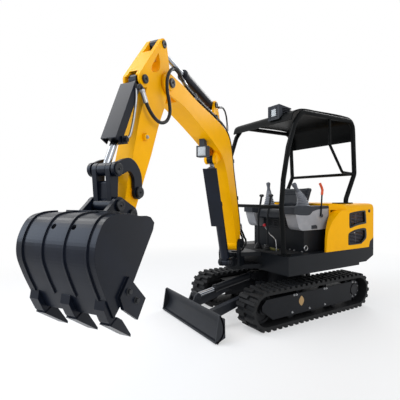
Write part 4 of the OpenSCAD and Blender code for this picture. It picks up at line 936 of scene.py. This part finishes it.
lever_path = metres(smooth_path(LEVER, 10))
lever_r = (LEVER_R + LEVER_RIB * np.cos(np.arange(len(lever_path)) * 1.25)) * MM
lever_r[-1] = LEVER_TIP_R * MM
handle = tube(lever_path, lever_r, 24)
add_piece("lock_lever_handle", handle, orange_grip, "upper", RUBBER_CREASE)
travel_shapes = []
for left in TRAVEL_LEVERS:
    travel_shapes.append(turned(TRAVEL_GRIP, metres((275, left, 1193)), LEFT, 24))
    travel_shapes.append(turned(TRAVEL_BOOT, metres((320, left, 640)), UP, 32))
add_piece("travel_lever_grips", merge(travel_shapes), hose_rubber, "upper", RUBBER_CREASE)
throttle = tube(metres(smooth_path(THROTTLE)), THROTTLE_R * MM)
add_piece("throttle_rod", throttle, zinc_plate, "upper")
knob = turned(KNOB, metres((326, 90, 876)), (0.25, -0.4, 0.85))
add_piece("red_knob", knob, red_knob, "upper", RUBBER_CREASE)
mat_x = np.linspace(MAT_REAR, MAT_FRONT, MAT_FRONT - MAT_REAR + 1)
mat_top = MAT_TOP + MAT_RIB * np.cos(2 * math.pi * mat_x / MAT_PITCH)
mat_outline = [(MAT_REAR, MAT_LOW)] + list(zip(mat_x, mat_top)) + [(MAT_FRONT, MAT_LOW)]
add_piece("floor_mat", plate(mat_outline, -318, 418), track_rubber, "upper", MAT_CREASE)
floor_bolts = [bolt(metres((x, y, MAT_TOP)), UP, FLOOR_BOLT) for x, y in FLOOR_BOLTS]
add_piece("upper_bolts", merge(floor_bolts), zinc_plate, "upper")
hood_lock = turned(HOOD_LOCK, metres((-772, 530, 1027)), LEFT)
add_piece("hood_lock", hood_lock, pin_steel, "upper")
lock_ring = turned(LOCK_RING, metres((92, 415.5, 676)), LEFT, 36, False)
add_piece("seat_box_lock_ring", lock_ring, zinc_plate, "upper")
round_edges(add_piece("foot_pedal", plate(PEDAL, 138, 208), pedal_olive, "upper"), 4)
print("levers", 1 + len(TRAVEL_LEVERS), "floor bolts", len(floor_bolts))

# %% [markdown]
# ## The seat
# Each cushion is a foam block under vinyl that is pulled tight,
# so its sides pull in and its middle stands up.
# A cloth simulation with a little pressure inside gives that form, and a cap keeps it near its place.
# The sewn channels come after it, as shallow grooves along the surface's own normals.

# %% The seat
SWELL_FRAMES = 20
SWELL_PRESSURE = 4.0
SWELL_CAP = 9.0
VOXEL = 7.0
CHANNEL_WIDTH = 6.0
PAD_OUTLINE = [(-138, 956), (213, 956), (213, 1022), (196, 1040), (-138, 1034)]
PAD_CHANNELS = (-20, 60, 140)
BACK_OUTLINE = [(-136, 1062), (-70, 1062), (-158, 1278), (-228, 1278)]
BACK_FOOT = (-150, 0, 1050)
BACK_ALONG = (-95, 0, 240)
BACK_FACE = (240, 0, 95)
BACK_CHANNELS = (187, 160, 133)


def set_points(mesh, points):
    """Puts an array back as the mesh's points."""
    mesh.vertices.foreach_set("co", points.ravel())
    mesh.update()


def foam_block(name, outline, low, high, corner_mm):
    """A block with rounded corners and an even mesh, ready to swell."""
    piece = add_piece(name, plate(outline, low, high), seat_vinyl, "upper", NO_CREASE)
    round_edges(piece, corner_mm, 5)
    remesh = piece.modifiers.new("even mesh", "REMESH")
    remesh.mode = "VOXEL"
    remesh.voxel_size = VOXEL * MM
    remesh.use_smooth_shade = True
    settled = bpy.data.meshes.new_from_object(piece.evaluated_get(bpy.context.evaluated_depsgraph_get()))
    piece.modifiers.clear()
    piece.data = settled
    settled.materials.clear()
    settled.materials.append(seat_vinyl)
    return piece


def swell(piece):
    """Runs cloth with pressure inside and no gravity, and keeps each point within the cap of its start."""
    mesh = piece.data
    start = mesh_values(mesh, "co")
    cloth = piece.modifiers.new("padding", "CLOTH")
    cloth.settings.use_pressure = True
    cloth.settings.uniform_pressure_force = SWELL_PRESSURE
    cloth.settings.effector_weights.gravity = 0.0
    for frame_number in range(1, SWELL_FRAMES + 1):
        bpy.context.scene.frame_set(frame_number)
    swollen = mesh_values(piece.evaluated_get(bpy.context.evaluated_depsgraph_get()).data, "co")
    piece.modifiers.clear()
    bpy.context.scene.frame_set(1)
    shift = swollen - start
    size = np.maximum(np.linalg.norm(shift, axis=1, keepdims=True), 1e-9)
    set_points(mesh, start + shift * np.minimum(1.0, SWELL_CAP * MM / size))


def sew_channels(piece, along, marks, depth_mm, face):
    """Sinks a point by depth exp(-(distance/width)^2) at each mark along a direction (all in millimetres).

    The depth is multiplied by how far the surface looks the same way as the cushion's face,
    so the sides stay smooth."""
    mesh = piece.data
    points = mesh_values(mesh, "co")
    distance = points @ unit(along) / MM
    sink = sum(np.exp(-((distance - mark) / CHANNEL_WIDTH) ** 2) for mark in marks)
    normals = mesh_values(mesh, "normal")
    sink = sink * np.clip(normals @ unit(face), 0, 1)
    set_points(mesh, points - normals * (sink * depth_mm * MM)[:, None])


def finish_cushion(piece, node):
    """One subdivision for a smooth surface, and the piece stands for its solid."""
    smooth = piece.modifiers.new("smooth vinyl", "SUBSURF")
    smooth.levels = 1
    smooth.render_levels = 1
    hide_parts(node)


cushion = foam_block("seat_pad", PAD_OUTLINE, -160, 260, 26)
swell(cushion)
sew_channels(cushion, AHEAD, PAD_CHANNELS, 5, UP)
finish_cushion(cushion, "seat_cushion")
backrest = foam_block("seat_backrest", BACK_OUTLINE, -146, 252, 32)
swell(backrest)
back_base = float(np.dot(unit(BACK_ALONG), BACK_FOOT))
sew_channels(backrest, BACK_ALONG, [back_base + mark for mark in BACK_CHANNELS], 9, BACK_FACE)
finish_cushion(backrest, "seat_back")
print("cushions", len(cushion.data.vertices), len(backrest.data.vertices))

# %% [markdown]
# ## Floor and light
# A plain pale floor keeps the shadow, and fades to the white of the background so that no horizon shows.
# Four large soft lamps and an even sky light the machine at a plain level.

# %% Floor and light
FLOOR_SIZE = 40.0
FADE_START = 2.2
FADE_END = 5.0
FLOOR_GLOW = 0.45


def make_floor():
    """A pale plane whose far part turns into the background."""
    half = FLOOR_SIZE / 2
    mesh = bpy.data.meshes.new("floor")
    corners = [(-half, -half, 0), (half, -half, 0), (half, half, 0), (-half, half, 0)]
    mesh.from_pydata(corners, [], [(0, 1, 2, 3)])
    floor = bpy.data.objects.new("floor", mesh)
    bpy.context.scene.collection.objects.link(floor)
    material, tree, output = new_material("studio_floor")
    place = add_node(tree, "TexCoord").outputs["Object"]
    distance = add_node(tree, "VectorMath", {"operation": "LENGTH"}, {0: place})
    share = add_node(tree, "MapRange",
                     {"From Min": FADE_START, "From Max": FADE_END, "To Min": FLOOR_GLOW,
                      "interpolation_type": "SMOOTHSTEP"}, {"Value": distance.outputs["Value"]})
    paper = add_node(tree, "BsdfDiffuse", {"Color": (0.88, 0.88, 0.88, 1)})
    white = add_node(tree, "Emission", {"Color": (1, 1, 1, 1), "Strength": 1.0})
    mix = add_node(tree, "MixShader", {},
                   {0: share.outputs["Result"], 1: paper.outputs[0], 2: white.outputs[0]})
    tree.links.new(mix.outputs[0], output.inputs[0])
    mesh.materials.append(material)


def make_world():
    """White to the eye and to mirrors, and softer as a light."""
    world = bpy.data.worlds.new("studio")
    world.use_nodes = True
    tree = world.node_tree
    tree.nodes.clear()
    output = add_node(tree, "OutputWorld")
    path = add_node(tree, "LightPath")
    seen = add_node(tree, "Math", {"operation": "MAXIMUM"},
                    {0: path.outputs["Is Camera Ray"], 1: path.outputs["Is Transmission Ray"]})
    mirrored = add_node(tree, "Math", {"operation": "MAXIMUM"},
                        {0: seen.outputs[0], 1: path.outputs["Is Glossy Ray"]})
    white = add_node(tree, "Background", {"Color": (1, 1, 1, 1), "Strength": 1.0})
    sky = add_node(tree, "Background", {"Color": (0.93, 0.96, 1.0, 1), "Strength": 0.55})
    mix = add_node(tree, "MixShader", {},
                   {0: mirrored.outputs[0], 1: sky.outputs[0], 2: white.outputs[0]})
    tree.links.new(mix.outputs[0], output.inputs[0])
    bpy.context.scene.world = world


def soft_lamp(name, place, aim, size, power, tint=(1.0, 1.0, 1.0)):
    """A square soft box that looks at a point."""
    data = bpy.data.lights.new(name, "AREA")
    data.shape = "SQUARE"
    data.size = size
    data.energy = power
    data.color = tint
    lamp = bpy.data.objects.new(name, data)
    direction = np.array(aim, float) - np.array(place, float)
    lamp.location = place
    lamp.rotation_euler = (math.acos(-direction[2] / np.linalg.norm(direction)), 0,
                           math.atan2(direction[1], direction[0]) - math.pi / 2)
    bpy.context.scene.collection.objects.link(lamp)


make_floor()
make_world()
soft_lamp("key", (3.6, -1.2, 4.6), (0.4, 0.2, 0.8), 2.6, 110)
soft_lamp("fill", (0.6, 5.2, 3.2), (0.5, 0.3, 0.8), 3.0, 85)
soft_lamp("front", (5.4, 0.1, 2.6), (1.6, 0.6, 0.7), 2.4, 88, (0.72, 0.83, 1.0))
soft_lamp("back", (-3.6, -1.5, 4.2), (0.0, 0.0, 1.0), 2.4, 100)
bpy.context.scene.view_settings.view_transform = "Standard"
print("studio ready")
